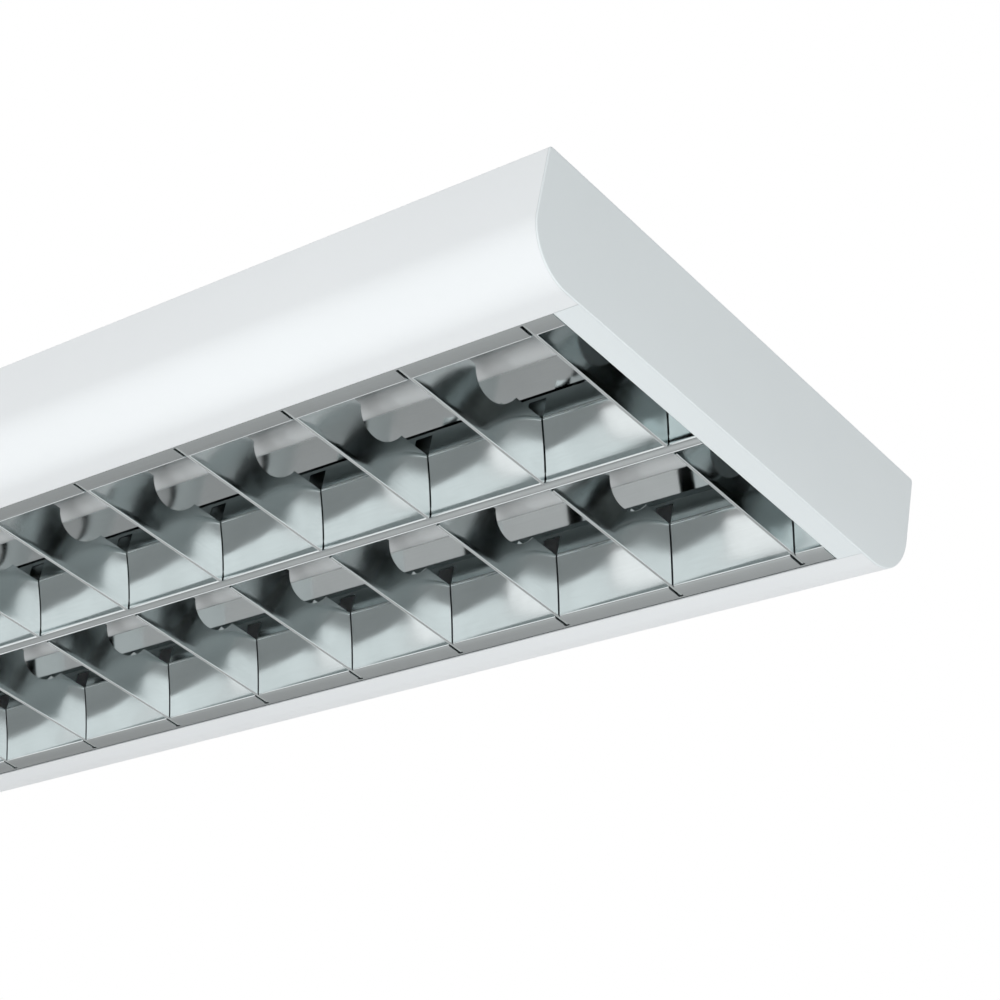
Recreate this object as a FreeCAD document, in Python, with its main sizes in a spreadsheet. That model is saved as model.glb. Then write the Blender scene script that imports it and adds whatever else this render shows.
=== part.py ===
"""Surface-mounted twin-lamp ceiling light with a hinged parabolic louvre.

Millimetres. The origin is the middle of the face that lies against the ceiling, +X runs along
the lamps, +Z points up into the ceiling, so the whole light hangs below Z = 0.
"Front" is the -Y side, where the louvre is caught, and "rear" is the +Y side, where it is hinged.
"""
import FreeCAD, Part
import os
import re
import Sketcher

# Driving dimensions, in millimetres unless the name says otherwise.
SIZES = {
    # housing
    "length": 1200.0,
    "width": 300.0,
    "height": 64.0,
    "steel": 0.8,
    "corner_radius": 27.0,
    "roof_bend": 2.0,
    "lip_width": 9.0,
    "end_lip": 15.0,
    "cap_flange": 8.5,
    "joint_gap": 0.1,
    # louvre as a whole
    "louvre_gap": 0.8,
    "louvre_recess": 1.2,
    "mirror_sheet": 0.5,
    "louvre_depth": 29.0,
    "rim_depth": 43.0,
    "rim_return": 2.0,
    "flange_width": 10.0,
    "fold_corner": 1.0,
    "centre_fold_radius": 3.0,
    "wall_lean": 14.0,
    "wall_bow": 1.2,
    "end_plate_reach": 3.0,
    # cross blades
    "blade_count": 16.0,
    "first_blade": 19.5,
    "blade_roll": 1.0,
    "blade_top": 16.0,
    "blade_nose": 0.6,
    "blade_overhang": 1.0,
    "tab_depth": 4.0,
    "tab_setback": 1.6,
    "window_gap": 0.6,
    "rim_band": 1.6,
    "notch_radius": 17.0,
    "notch_depth": 10.0,
    # louvre pivots
    "pivot_inset": 3.8,
    "pivot_rise": 3.2,
    "pivot_radius": 2.0,
    "running_gap": 0.05,
    "pin_head_radius": 2.6,
    "pin_head": 1.0,
    "bracket_sheet": 1.5,
    "bracket_width": 14.0,
    "bracket_step": 12.0,
    "bracket_tab": 12.0,
    "bracket_setback": 2.3,
    "bracket_foot_gap": 0.5,
    "pin_reach": 2.0,
    "clip_sheet": 0.6,
    "clip_gap": 0.3,
    "clip_flare": 1.4,
    # lamps
    "lamp_radius": 8.0,
    "lamp_wall": 0.8,
    "lamp_end_space": 25.5,
    "lamp_cap": 8.0,
    "lamp_pin_radius": 1.18,
    "lamp_pin_spread": 2.375,
    "lamp_pin": 7.0,
    "lamp_depth": 19.6,
    # lampholders
    "holder_width": 20.0,
    "holder_thickness": 12.0,
    "holder_top": 6.0,
    "holder_chin": 11.0,
    "holder_gap": 0.9,
    "rotor_radius": 7.0,
    "rotor_thickness": 3.0,
    "rotor_float": 0.3,
    "pin_clearance": 0.2,
    "pin_end_space": 1.0,
    "holder_bracket_margin": 15.0,
    "holder_bracket_sheet": 1.0,
    "holder_bracket_foot": 12.0,
    # reflector tray above the lamps
    "tray_channel_margin": 1.0,
    "tray_channel_depth": 18.0,
    "tray_crown_depth": 6.0,
    "tray_crown_half": 23.0,
    "tray_inset": 10.2,
    "tray_edge_depth": 17.0,
    "tray_foot": 11.0,
    "tray_end_gap": 2.0,
    # gear
    "ballast_length": 360.0,
    "ballast_width": 30.0,
    "ballast_height": 21.0,
    "ballast_bevel": 2.0,
    "ballast_sheet": 0.6,
    "ballast_ear": 12.0,
    "ballast_ear_half": 10.0,
    "ballast_ear_sheet": 1.2,
    "ballast_wall_gap": 6.2,
    "ballast_x": 180.0,
    "connector_length": 14.0,
    "connector_height": 15.0,
    "terminal_length": 38.0,
    "terminal_width": 20.0,
    "terminal_height": 13.0,
    "terminal_x": 60.0,
    "terminal_pitch": 11.0,
    "terminal_hole_radius": 2.2,
    "clamp_screw_radius": 2.2,
    "clamp_screw_gap": 0.3,
    "clamp_screw_recess": 0.5,
    "entry_x": 110.0,
    "entry_radius": 10.0,
    "grommet_bore": 5.0,
    "grommet_flange": 13.0,
    "grommet_lip": 2.0,
    # fixings
    "fixing_span_x": 800.0,
    "fixing_span_y": 120.0,
    "fixing_slot_radius": 3.0,
    "fixing_slot_length": 12.0,
    "stud_radius": 2.0,
    "stud_length": 7.5,
    "stud_gap": 0.25,
    "nut_radius": 4.0,
    "nut_height": 3.0,
    "tray_stud_span": 900.0,
    "cap_stud_inset": 50.0,
    "holder_stud_offset": 13.0,
    "earth_stud_x": 20.0,
}

DIAGONAL = "sqrt(0.5)"
ROOT_POINT = -1
HEXAGON_SIDE_COUNT = 6
OCTAGON_SIDE_COUNT = 8
SIDES = ((1, "right"), (-1, "left"))
ROWS = ((-1, "front"), (1, "rear"))

# How far a cutting outline runs past what it cuts, in millimetres.
OVERSHOOT = "1"

# Places worked out from the sizes, as expressions.
HALF = "width / 2"
APERTURE = "(width / 2 - corner_radius - lip_width)"
BASE = "(-height + louvre_recess)"
EDGE = f"({APERTURE} - louvre_gap)"
FOLD = f"({EDGE} - flange_width)"
LAMP_Y = f"(({FOLD} + centre_fold_radius) / 2)"
LAMP_Z = "(-lamp_depth)"
LOUVRE_END = "(length / 2 - end_lip - louvre_gap)"
PLATE_IN = f"({LOUVRE_END} - mirror_sheet)"
FIRST_X = "(length / 2 - end_lip - first_blade)"
PITCH = f"(2 * {FIRST_X} / (blade_count - 1))"
CAP_IN = "(length / 2 - steel)"
PIVOT_Y = f"({APERTURE} - pivot_inset)"
PIVOT_Z = f"({BASE} + pivot_rise)"
CLIP_TOP = f"({PIVOT_Z} + pivot_radius + clip_gap + clip_sheet)"
LAMP_END = "(length / 2 - lamp_end_space)"
HOLDER_FACE = f"({LAMP_END} + holder_gap)"
HOLDER_BACK = f"({HOLDER_FACE} + holder_thickness)"
TRAY_END = f"({HOLDER_FACE} - tray_end_gap)"
TRAY_EDGE = f"({FOLD} - tray_inset)"
TRAY_STUD_Y = f"({TRAY_EDGE} + mirror_sheet + tray_foot / 2)"
HOLDER_STUD_Y = f"({LAMP_Y} + holder_stud_offset)"
CAP_STUD_Y = f"({HALF} - cap_stud_inset)"
BALLAST_Y = f"({HALF} - steel - ballast_wall_gap - ballast_width / 2)"
CENTRE_WINDOW_Z = f"({BASE} + 2 * centre_fold_radius)"
NOTCH_Z = f"({BASE} + louvre_depth - notch_depth + notch_radius)"

doc = FreeCAD.newDocument("CeilingLight")
sheet = doc.addObject("Spreadsheet::Sheet", "Sizes")
nodes = []
cuts = []


def fill_sheet():
    """Writes each driving dimension beside its name and gives the cell that name."""
    for row, (name, value) in enumerate(SIZES.items(), start=1):
        sheet.set(f"A{row}", name)
        sheet.set(f"B{row}", str(value))
        sheet.setAlias(f"B{row}", name)
    doc.recompute()


def bound(expression):
    """The expression with every driving dimension read from the sheet."""
    def from_sheet(match):
        word = match.group()
        return f"Sizes.{word}" if word in SIZES else word
    return re.sub(r"[a-z_]+", from_sheet, str(expression))


def measure(expression):
    """The present value of an expression, in millimetres."""
    return float(sheet.evalExpression(bound(expression)))


def minus(expression):
    """The expression with its sign turned."""
    return "0" if expression == "0" else f"-({expression})"


def signed(sign, expression):
    """The expression, or its negative on the other side."""
    return expression if sign > 0 else minus(expression)


def flipped(path):
    """The path reflected across the vertical axis."""
    turned = []
    for step in path:
        turned.append(tuple(minus(value) if place % 2 == 0 else value for place, value in enumerate(step)))
    return turned


def backwards(path):
    """The same path run from its end to its start."""
    turned = [path[-1][-2:]]
    for index in range(len(path) - 1, 0, -1):
        start = path[index - 1][-2:]
        turned.append(path[index][:2] + start if len(path[index]) == 4 else start)
    return turned


def mirrored(path):
    """A closed outline from its right half, run from the axis or from a level edge that crosses it."""
    other_half = flipped(backwards(path))
    ends_on_axis = path[-1][-2] == "0"
    return path + (other_half[1:] if ends_on_axis else other_half)


def shifted(path, distance):
    """The path moved along the first axis."""
    moved = []
    for step in path:
        moved.append(tuple(f"{value} + {distance}" if place % 2 == 0 else value
                           for place, value in enumerate(step)))
    return moved


def facing(sign, outline):
    """The outline on the positive side, or its reflection on the negative side."""
    return outline if sign > 0 else flipped(outline)


def rectangle(x_low, x_high, y_low, y_high):
    """A closed four-cornered outline."""
    return [(x_low, y_low), (x_high, y_low), (x_high, y_high), (x_low, y_high)]


def locate(sketch, geometry, position, x, y):
    """Ties one point of a sketch to its two expressions."""
    for kind, expression in (("DistanceX", x), ("DistanceY", y)):
        rule = Sketcher.Constraint(kind, ROOT_POINT, 1, geometry, position, measure(expression))
        index = sketch.addConstraint(rule)
        sketch.setExpression(f"Constraints[{index}]", bound(expression))


def vector(point):
    """A pair of expressions as a point of the sketch plane."""
    return FreeCAD.Vector(measure(point[0]), measure(point[1]), 0)


def draw_outline(sketch, outline):
    """Draws a closed outline. A step of two values is a line, one of four an arc through a point."""
    steps = outline[1:]
    if len(outline[0]) == 2 and outline[-1][-2:] != outline[0]:
        steps = steps + [outline[0]]
    start = outline[0][-2:]
    first_end = None
    last_end = None
    for step in steps:
        if len(step) == 4:
            edge = sketch.addGeometry(Part.Arc(vector(start), vector(step[:2]), vector(step[2:])), False)
            point = sketch.addGeometry(Part.Point(vector(step[:2])), True)
            sketch.addConstraint(Sketcher.Constraint("PointOnObject", point, 1, edge))
            locate(sketch, point, 1, step[0], step[1])
            near_start = sketch.getPoint(edge, 1).distanceToPoint(vector(start))
            near_end = sketch.getPoint(edge, 2).distanceToPoint(vector(start))
            begin, finish = (1, 2) if near_start < near_end else (2, 1)
        else:
            edge = sketch.addGeometry(Part.LineSegment(vector(start), vector(step)), False)
            begin, finish = 1, 2
        locate(sketch, edge, begin, start[0], start[1])
        if last_end:
            sketch.addConstraint(Sketcher.Constraint("Coincident", last_end[0], last_end[1], edge, begin))
        else:
            first_end = (edge, begin)
        last_end = (edge, finish)
        start = step[-2:]
    sketch.addConstraint(Sketcher.Constraint("Coincident", last_end[0], last_end[1], *first_end))


def draw_circle(sketch, x, y, radius):
    """Draws a circle whose centre and radius follow their expressions."""
    shape = Part.Circle(vector((x, y)), FreeCAD.Vector(0, 0, 1), measure(radius))
    circle = sketch.addGeometry(shape, False)
    locate(sketch, circle, 3, x, y)
    index = sketch.addConstraint(Sketcher.Constraint("Radius", circle, measure(radius)))
    sketch.setExpression(f"Constraints[{index}]", bound(radius))


def new_body(name):
    """A body whose label is its node's name."""
    body = doc.addObject("PartDesign::Body", name)
    body.Label = name
    nodes.append(body)
    return body


def extrude(body, plane, low, high, outlines=(), circles=(), cut=False):
    """Adds or cuts outlines between two distances along the axis that the plane is square to."""
    number = len(body.Group)
    sketch = body.newObject("Sketcher::SketchObject", f"{body.Name}_sketch_{number}")
    origin_plane = [feature for feature in body.Origin.OriginFeatures if feature.Role == plane][0]
    sketch.AttachmentSupport = [(origin_plane, "")]
    sketch.MapMode = "FlatFace"
    offset = minus(high) if plane == "XZ_Plane" else low
    sketch.setExpression("AttachmentOffset.Base.z", bound(offset))
    for outline in outlines:
        draw_outline(sketch, outline)
    for circle in circles:
        draw_circle(sketch, *circle)
    kind = "PartDesign::Pocket" if cut else "PartDesign::Pad"
    feature = body.newObject(kind, f"{body.Name}_feature_{number}")
    feature.Profile = sketch
    feature.Reversed = cut
    feature.setExpression("Length", bound(f"({high}) - ({low})"))
    if cut:
        cuts.append(feature)
    return feature


def row_of(body, feature, count, spacing):
    """Repeats a feature along X."""
    pattern = body.newObject("PartDesign::LinearPattern", f"{feature.Name}_row")
    pattern.Originals = [feature]
    pattern.Direction = (feature.Profile[0], ["H_Axis"])
    pattern.setExpression("Length", bound(f"(({count}) - 1) * ({spacing})"))
    pattern.setExpression("Occurrences", bound(count))
    body.Tip = pattern
    return pattern


def housing_outline(inner):
    """Half of the channel's outer or inner face, from the roof to the lip's edge."""
    offset = "steel" if inner else "0"
    bend = f"(roof_bend - {offset})"
    corner = f"(corner_radius - {offset})"
    bend_x = f"{HALF} - roof_bend"
    corner_x = f"{HALF} - corner_radius"
    corner_z = "-height + corner_radius"
    return [
        (bend_x, f"-({offset})"),
        (f"{bend_x} + {bend} * {DIAGONAL}", f"-roof_bend + {bend} * {DIAGONAL}",
         f"{HALF} - {offset}", "-roof_bend"),
        (f"{HALF} - {offset}", corner_z),
        (f"{corner_x} + {corner} * {DIAGONAL}", f"{corner_z} - {corner} * {DIAGONAL}",
         corner_x, f"-height + {offset}"),
        (APERTURE, f"-height + {offset}"),
    ]


def make_housing():
    """The folded channel with its mounting slots and cable hole in the roof."""
    body = new_body("housing_canopy")
    section = housing_outline(False) + backwards(housing_outline(True))
    half_length = f"({CAP_IN} - joint_gap)"
    extrude(body, "YZ_Plane", minus(half_length), half_length, [mirrored(section)])
    slots = [slot_outline(x, y) for x in (-1, 1) for y in (-1, 1)]
    hole = [(minus("entry_x"), "0", "entry_radius")]
    extrude(body, "XY_Plane", "-2 * steel", "steel", slots, hole, cut=True)


def slot_outline(x_sign, y_sign):
    """A round-ended slot that runs along X."""
    x = signed(x_sign, "fixing_span_x / 2")
    y = signed(y_sign, "fixing_span_y / 2")
    half = "(fixing_slot_length / 2 - fixing_slot_radius)"
    return [
        (f"{x} - {half}", f"{y} - fixing_slot_radius"),
        (f"{x} + {half}", f"{y} - fixing_slot_radius"),
        (f"{x} + {half} + fixing_slot_radius", y, f"{x} + {half}", f"{y} + fixing_slot_radius"),
        (f"{x} - {half}", f"{y} + fixing_slot_radius"),
        (f"{x} - {half} - fixing_slot_radius", y, f"{x} - {half}", f"{y} - fixing_slot_radius"),
    ]


def span(sign, low, high):
    """Two distances along X, put in order on the chosen side."""
    return (low, high) if sign > 0 else (minus(high), minus(low))


def make_end_cap(sign, side):
    """A flat plate with the channel's outline, a lip below and a flange under the roof."""
    body = new_body(f"end_cap_{side}")
    outline = mirrored(housing_outline(False)[:-1])
    extrude(body, "YZ_Plane", *span(sign, CAP_IN, "length / 2"), [outline])
    lip_half = f"({APERTURE} - 2 * joint_gap)"
    lip = rectangle(minus(lip_half), lip_half, "-height", "-height + steel")
    extrude(body, "YZ_Plane", *span(sign, "length / 2 - end_lip", CAP_IN), [lip])
    flange_half = f"({HALF} - 2 * roof_bend)"
    flange = rectangle(minus(flange_half), flange_half, "-2 * steel", "-steel")
    extrude(body, "YZ_Plane", *span(sign, f"{CAP_IN} - cap_flange", CAP_IN), [flange])
    stud_x = signed(sign, f"({CAP_IN} - cap_flange / 2)")
    holes = [stud_hole(stud_x, signed(row, CAP_STUD_Y)) for row in (-1, 1)]
    extrude(body, "XY_Plane", "-3 * steel", "-steel", holes, cut=True)


def wall_face(offset):
    """The parabolic wall's face from its fold to the crease, as the arc through its middle."""
    return [(f"{FOLD} + {offset}", f"{BASE} + fold_corner"),
            (f"{FOLD} - wall_lean / 2 + wall_bow + {offset}", f"{BASE} + (fold_corner + louvre_depth) / 2",
             f"{FOLD} - wall_lean + {offset}", f"{BASE} + louvre_depth")]


def side_section():
    """Section of a long side reflector: flange, fold, parabolic wall, upright rim."""
    top = f"{FOLD} - wall_lean"
    rim_z = f"{BASE} + rim_depth"
    fold_y = f"{FOLD} + fold_corner"
    return [
        (EDGE, BASE),
        (fold_y, BASE),
    ] + wall_face("0") + [
        (top, rim_z),
        (f"{top} + rim_return", rim_z),
        (f"{top} + rim_return", f"{rim_z} - mirror_sheet"),
        (f"{top} + mirror_sheet", f"{rim_z} - mirror_sheet"),
    ] + backwards(wall_face("mirror_sheet")) + [
        (fold_y, f"{BASE} + mirror_sheet"),
        (EDGE, f"{BASE} + mirror_sheet"),
    ]


def blade_face(offset):
    """One face of the cross blade's V, from its fold to its top, in X and Z."""
    return [(f"blade_roll + {offset}", f"{BASE} + blade_roll"),
            (f"blade_top / 2 + {offset}", f"{BASE} + louvre_depth")]


def window_outline(foot_corners):
    """The opening that the first cross blade passes through, from its lower corners to the rim."""
    top = "blade_top / 2 + window_gap"
    half = foot_corners + [(top, f"{BASE} + louvre_depth"), (top, f"{BASE} + rim_depth - rim_band")]
    return shifted(mirrored(half), minus(FIRST_X))


def make_side_reflector(sign, side):
    """A long specular reflector, with a window at each cross blade."""
    body = new_body(f"side_reflector_{side}")
    extrude(body, "YZ_Plane", minus(PLATE_IN), PLATE_IN, [facing(sign, side_section())])
    reach = f"({EDGE} - tab_setback / 2)"
    foot_half = "blade_roll + window_gap"
    window = window_outline([(foot_half, f"{BASE} - {OVERSHOOT}"), (foot_half, f"{BASE} + blade_roll")])
    low, high = span(sign, "0", reach)
    cut = extrude(body, "XZ_Plane", low, high, [window], cut=True)
    row_of(body, cut, "blade_count", PITCH)


def quarter_fold(radius, centre_z):
    """A quarter turn from the axis below the centre out to the centre's own height."""
    return [("0", f"{centre_z} - {radius}"),
            (f"{radius} * {DIAGONAL}", f"{centre_z} - {radius} * {DIAGONAL}", radius, centre_z)]


def centre_face(offset):
    """One face of the centre reflector's parabolic wall, as the arc from its fold to its crease."""
    middle_z = f"{BASE} + (centre_fold_radius + louvre_depth) / 2"
    return (f"centre_fold_radius + wall_lean / 2 - wall_bow - {offset}", middle_z,
            f"centre_fold_radius + wall_lean - {offset}", f"{BASE} + louvre_depth")


def make_centre_reflector():
    """The hollow V between the two lamps, with a window at each cross blade."""
    body = new_body("centre_reflector")
    fold_z = f"{BASE} + centre_fold_radius"
    top = "(centre_fold_radius + wall_lean)"
    rim_z = f"{BASE} + rim_depth"
    inner = quarter_fold("(centre_fold_radius - mirror_sheet)", fold_z) + [centre_face("mirror_sheet")]
    path = quarter_fold("centre_fold_radius", fold_z) + [
        centre_face("0"),
        (top, rim_z),
        (f"{top} - rim_return", rim_z),
        (f"{top} - rim_return", f"{rim_z} - mirror_sheet"),
        (f"{top} - mirror_sheet", f"{rim_z} - mirror_sheet"),
    ] + backwards(inner)
    extrude(body, "YZ_Plane", minus(PLATE_IN), PLATE_IN, [mirrored(path)])
    slope = "(blade_top / 2 - blade_roll) / (louvre_depth - blade_roll)"
    foot_half = f"blade_roll + (2 * centre_fold_radius - blade_roll) * {slope} + window_gap"
    window = window_outline([(foot_half, CENTRE_WINDOW_Z)])
    reach = f"({top} + {OVERSHOOT})"
    cut = extrude(body, "XZ_Plane", minus(reach), reach, [window], cut=True)
    row_of(body, cut, "blade_count", PITCH)


def make_blade(number):
    """One cross blade: a V of thin sheet, notched for the lamps and the centre fold."""
    body = new_body(f"cross_blade_{number:02d}")
    floor = f"{BASE} + mirror_sheet"
    half = [("0", BASE), ("blade_nose", BASE)] + blade_face("0")
    half += backwards([("0", floor), ("blade_nose - mirror_sheet / 2", floor)] + blade_face("-mirror_sheet"))
    tab = f"({EDGE} - tab_setback)"
    extrude(body, "XZ_Plane", minus(tab), tab, [mirrored(half)])
    trims = [facing(sign, end_trim(tab)) for sign in (1, -1)]
    notches = [(signed(sign, LAMP_Y), NOTCH_Z, "notch_radius") for sign in (1, -1)]
    extrude(body, "YZ_Plane", "-blade_top", "blade_top", trims + [fold_notch()], notches, cut=True)
    body.setExpression("Placement.Base.x", bound(f"{PITCH} * {number - 1} - {FIRST_X}"))


def fold_notch():
    """The notch in a blade's foot that straddles the centre reflector's fold."""
    foot_half = "(centre_fold_radius + window_gap)"
    slope = "centre_fold_radius / (louvre_depth - centre_fold_radius)"
    top_half = f"({foot_half} + wall_lean * {slope})"
    top_z = f"{CENTRE_WINDOW_Z} + window_gap"
    below = f"{BASE} - {OVERSHOOT}"
    return [(minus(foot_half), below), (foot_half, below),
            (top_half, top_z), (minus(top_half), top_z)]


def end_trim(tab):
    """What is cut from the end of a blade so that it just passes through the wall's window."""
    over = "wall_bow + mirror_sheet + blade_overhang"
    top = f"{BASE} + louvre_depth + {OVERSHOOT}"
    outside = f"{tab} + {OVERSHOOT}"
    return [
        (f"{FOLD} + {over}", f"{BASE} + tab_depth"),
        (f"{FOLD} - wall_lean + {over}", top),
        (outside, top),
        (outside, f"{BASE} + tab_depth"),
    ]


def make_end_reflector(sign, side):
    """The plate that closes the louvre's end and carries its pivot and its catch pin."""
    body = new_body(f"end_reflector_{side}")
    ear = f"{PIVOT_Z} + 2 * pivot_radius"
    path = [
        (EDGE, BASE),
        (EDGE, ear),
        (f"{FOLD} + mirror_sheet", ear),
        (f"{FOLD} - wall_lean + end_plate_reach", f"{BASE} + louvre_depth"),
    ]
    low, high = span(sign, PLATE_IN, LOUVRE_END)
    extrude(body, "YZ_Plane", low, high, [mirrored(path)])
    circles = [(signed(row, LAMP_Y), NOTCH_Z, "notch_radius") for row in (1, -1)]
    circles += [(signed(row, PIVOT_Y), PIVOT_Z, "pivot_radius + running_gap") for row in (1, -1)]
    extrude(body, "YZ_Plane", low, high, circles=circles, cut=True)


def make_pins(name, row):
    """A headed pin at each end of the louvre, riveted through the end reflector."""
    body = new_body(name)
    y = signed(row, PIVOT_Y)
    reach = f"{LOUVRE_END} + bracket_setback + bracket_sheet + pin_reach"
    for sign in (1, -1):
        head = span(sign, f"{PLATE_IN} - pin_head", PLATE_IN)
        shank = span(sign, PLATE_IN, reach)
        extrude(body, "YZ_Plane", *head, [regular(y, PIVOT_Z, "pin_head_radius", HEXAGON_SIDE_COUNT)])
        extrude(body, "YZ_Plane", *shank, circles=[(y, PIVOT_Z, "pivot_radius")])


def step_outline(foot, shelf, sign):
    """A stepped bracket seen from the side: leg down, shelf outwards, tab up the end cap."""
    face = f"{LOUVRE_END} + bracket_setback"
    wall = f"{CAP_IN} - joint_gap"
    outline = [
        (face, foot),
        (f"{face} + bracket_sheet", foot),
        (f"{face} + bracket_sheet", f"{shelf} - bracket_sheet"),
        (wall, f"{shelf} - bracket_sheet"),
        (wall, f"{shelf} + bracket_tab"),
        (f"{wall} - bracket_sheet", f"{shelf} + bracket_tab"),
        (f"{wall} - bracket_sheet", shelf),
        (face, shelf),
    ]
    return facing(sign, outline)


def make_hinge_bracket(sign, side):
    """The bracket on the end cap in whose hole the louvre's rear pivot turns."""
    body = new_body(f"hinge_bracket_{side}")
    low = f"{PIVOT_Y} - bracket_width / 2"
    high = f"{PIVOT_Y} + bracket_width / 2"
    foot = "-height + steel + bracket_foot_gap"
    shelf = f"{PIVOT_Z} + bracket_step"
    extrude(body, "XZ_Plane", low, high, [step_outline(foot, shelf, sign)])
    x_low, x_high = span(sign, f"{LOUVRE_END}", f"{LOUVRE_END} + bracket_setback + 2 * bracket_sheet")
    bore = [(PIVOT_Y, PIVOT_Z, "pivot_radius + running_gap")]
    extrude(body, "YZ_Plane", x_low, x_high, circles=bore, cut=True)


def make_catch_bracket(sign, side):
    """The shelf on the end cap that carries the front spring clip."""
    body = new_body(f"catch_bracket_{side}")
    low = f"{minus(PIVOT_Y)} - bracket_width / 2"
    high = f"{minus(PIVOT_Y)} + bracket_width / 2"
    face = f"{LOUVRE_END} + bracket_setback"
    wall = f"{CAP_IN} - joint_gap"
    shelf = CLIP_TOP
    outline = [
        (face, shelf),
        (wall, shelf),
        (wall, f"{shelf} + bracket_tab"),
        (f"{wall} - bracket_sheet", f"{shelf} + bracket_tab"),
        (f"{wall} - bracket_sheet", f"{shelf} + bracket_sheet"),
        (face, f"{shelf} + bracket_sheet"),
    ]
    extrude(body, "XZ_Plane", low, high, [facing(sign, outline)])


def make_spring_clip(sign, side):
    """An open-mouthed leaf spring over the louvre's front pin."""
    body = new_body(f"spring_clip_{side}")
    inner = "(pivot_radius + clip_gap)"
    outer = f"({inner} + clip_sheet)"
    waist_z = f"{PIVOT_Z} - pivot_radius / 2"
    mouth_z = f"{PIVOT_Z} - pivot_radius - clip_flare / 2"
    half = [
        ("0", f"{PIVOT_Z} + {inner}"),
        (inner, f"{PIVOT_Z} + {inner}"),
        (inner, waist_z),
        (f"{inner} + clip_flare", mouth_z),
        (f"{outer} + clip_flare", mouth_z),
        (outer, waist_z),
        (outer, CLIP_TOP),
        ("0", CLIP_TOP),
    ]
    face = f"{LOUVRE_END} + bracket_setback"
    ends = span(sign, face, f"{face} + 2 * bracket_sheet")
    extrude(body, "YZ_Plane", *ends, [shifted(mirrored(half), minus(PIVOT_Y))])


def make_lamp(row, side):
    """A tubular lamp: glass, two end caps and four contact pins, with the rotors that turn with it."""
    y = signed(row, LAMP_Y)
    body = new_body(f"lamp_{side}_tube")
    half = f"({LAMP_END} - lamp_cap)"
    extrude(body, "YZ_Plane", minus(half), half, circles=[(y, LAMP_Z, "lamp_radius"),
                                                         (y, LAMP_Z, "lamp_radius - lamp_wall")])
    caps = new_body(f"lamp_{side}_caps")
    pins = new_body(f"lamp_{side}_pins")
    for sign in (1, -1):
        extrude(caps, "YZ_Plane", *span(sign, half, LAMP_END), circles=[(y, LAMP_Z, "lamp_radius")])
        spots = [(f"{y} + {signed(place, 'lamp_pin_spread')}", LAMP_Z, "lamp_pin_radius")
                 for place in (1, -1)]
        extrude(pins, "YZ_Plane", *span(sign, LAMP_END, f"{LAMP_END} + lamp_pin"), circles=spots)
    for sign, end in SIDES:
        make_rotor(row, side, sign, end)


def make_rotor(row, side, sign, end):
    """The disc in a lampholder that turns with the lamp's pins, slotted out to its rim."""
    body = new_body(f"rotor_{side}_{end}")
    y = signed(row, LAMP_Y)
    low, high = span(sign, HOLDER_FACE, f"{HOLDER_FACE} + rotor_thickness")
    extrude(body, "YZ_Plane", low, high, circles=[(y, LAMP_Z, "rotor_radius")])
    half = "(lamp_pin_radius + pin_clearance)"
    slot = rectangle(f"{y} - rotor_radius - {OVERSHOOT}", f"{y} + lamp_pin_spread + {half}",
                     f"{LAMP_Z} - {half}", f"{LAMP_Z} + {half}")
    extrude(body, "YZ_Plane", low, high, [slot], cut=True)


def make_lampholder(row, side, sign, end):
    """A lampholder with a round chin, a seat for its rotor and an entry slot from below."""
    body = new_body(f"lampholder_{side}_{end}")
    y = signed(row, LAMP_Y)
    half = "holder_width / 2"
    chin = f"{LAMP_Z} - holder_chin + holder_width / 2"
    outline = [
        (f"{y} + {half}", "-holder_top"),
        (f"{y} - {half}", "-holder_top"),
        (f"{y} - {half}", chin),
        (y, f"{LAMP_Z} - holder_chin", f"{y} + {half}", chin),
    ]
    extrude(body, "YZ_Plane", *span(sign, HOLDER_FACE, HOLDER_BACK), [outline])
    seat = [(y, LAMP_Z, "rotor_radius + running_gap")]
    seat_back = f"{HOLDER_FACE} + rotor_thickness + rotor_float"
    extrude(body, "YZ_Plane", *span(sign, HOLDER_FACE, seat_back), circles=seat, cut=True)
    pocket_back = f"{LAMP_END} + lamp_pin + pin_end_space"
    reach = "(lamp_pin_spread + lamp_pin_radius + pin_clearance)"
    slot_half = "(lamp_pin_radius + pin_clearance)"
    mouth = f"{LAMP_Z} - holder_chin - {OVERSHOOT}"
    pocket = [
        (f"{y} - {reach}", f"{LAMP_Z} + {reach}"),
        (f"{y} - {reach}", f"{LAMP_Z} - {reach}"),
        (f"{y} - {slot_half}", f"{LAMP_Z} - {reach}"),
        (f"{y} - {slot_half}", mouth),
        (f"{y} + {slot_half}", mouth),
        (f"{y} + {slot_half}", f"{LAMP_Z} - {reach}"),
        (f"{y} + {reach}", f"{LAMP_Z} - {reach}"),
        (f"{y} + {reach}", f"{LAMP_Z} + {reach}"),
    ]
    extrude(body, "YZ_Plane", *span(sign, HOLDER_FACE, pocket_back), [pocket], cut=True)


def make_holder_bracket(sign, side):
    """The upright plate, folded from a foot under the roof, that carries both lampholders."""
    body = new_body(f"holder_bracket_{side}")
    half = f"({LAMP_Y} + holder_width / 2 + holder_bracket_margin)"
    plate = rectangle(minus(half), half, f"{LAMP_Z} - holder_chin / 2", "-steel")
    extrude(body, "YZ_Plane", *span(sign, HOLDER_BACK, f"{HOLDER_BACK} + holder_bracket_sheet"), [plate])
    foot = rectangle(minus(half), half, "-steel - holder_bracket_sheet", "-steel")
    extrude(body, "YZ_Plane", *span(sign, f"{HOLDER_BACK} - holder_bracket_foot", HOLDER_BACK), [foot])
    stud_x = signed(sign, f"({HOLDER_BACK} - holder_bracket_foot / 2)")
    holes = [stud_hole(stud_x, signed(row, HOLDER_STUD_Y)) for row in (1, -1)]
    extrude(body, "XY_Plane", "-3 * steel - holder_bracket_sheet", "-steel", holes, cut=True)


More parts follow.
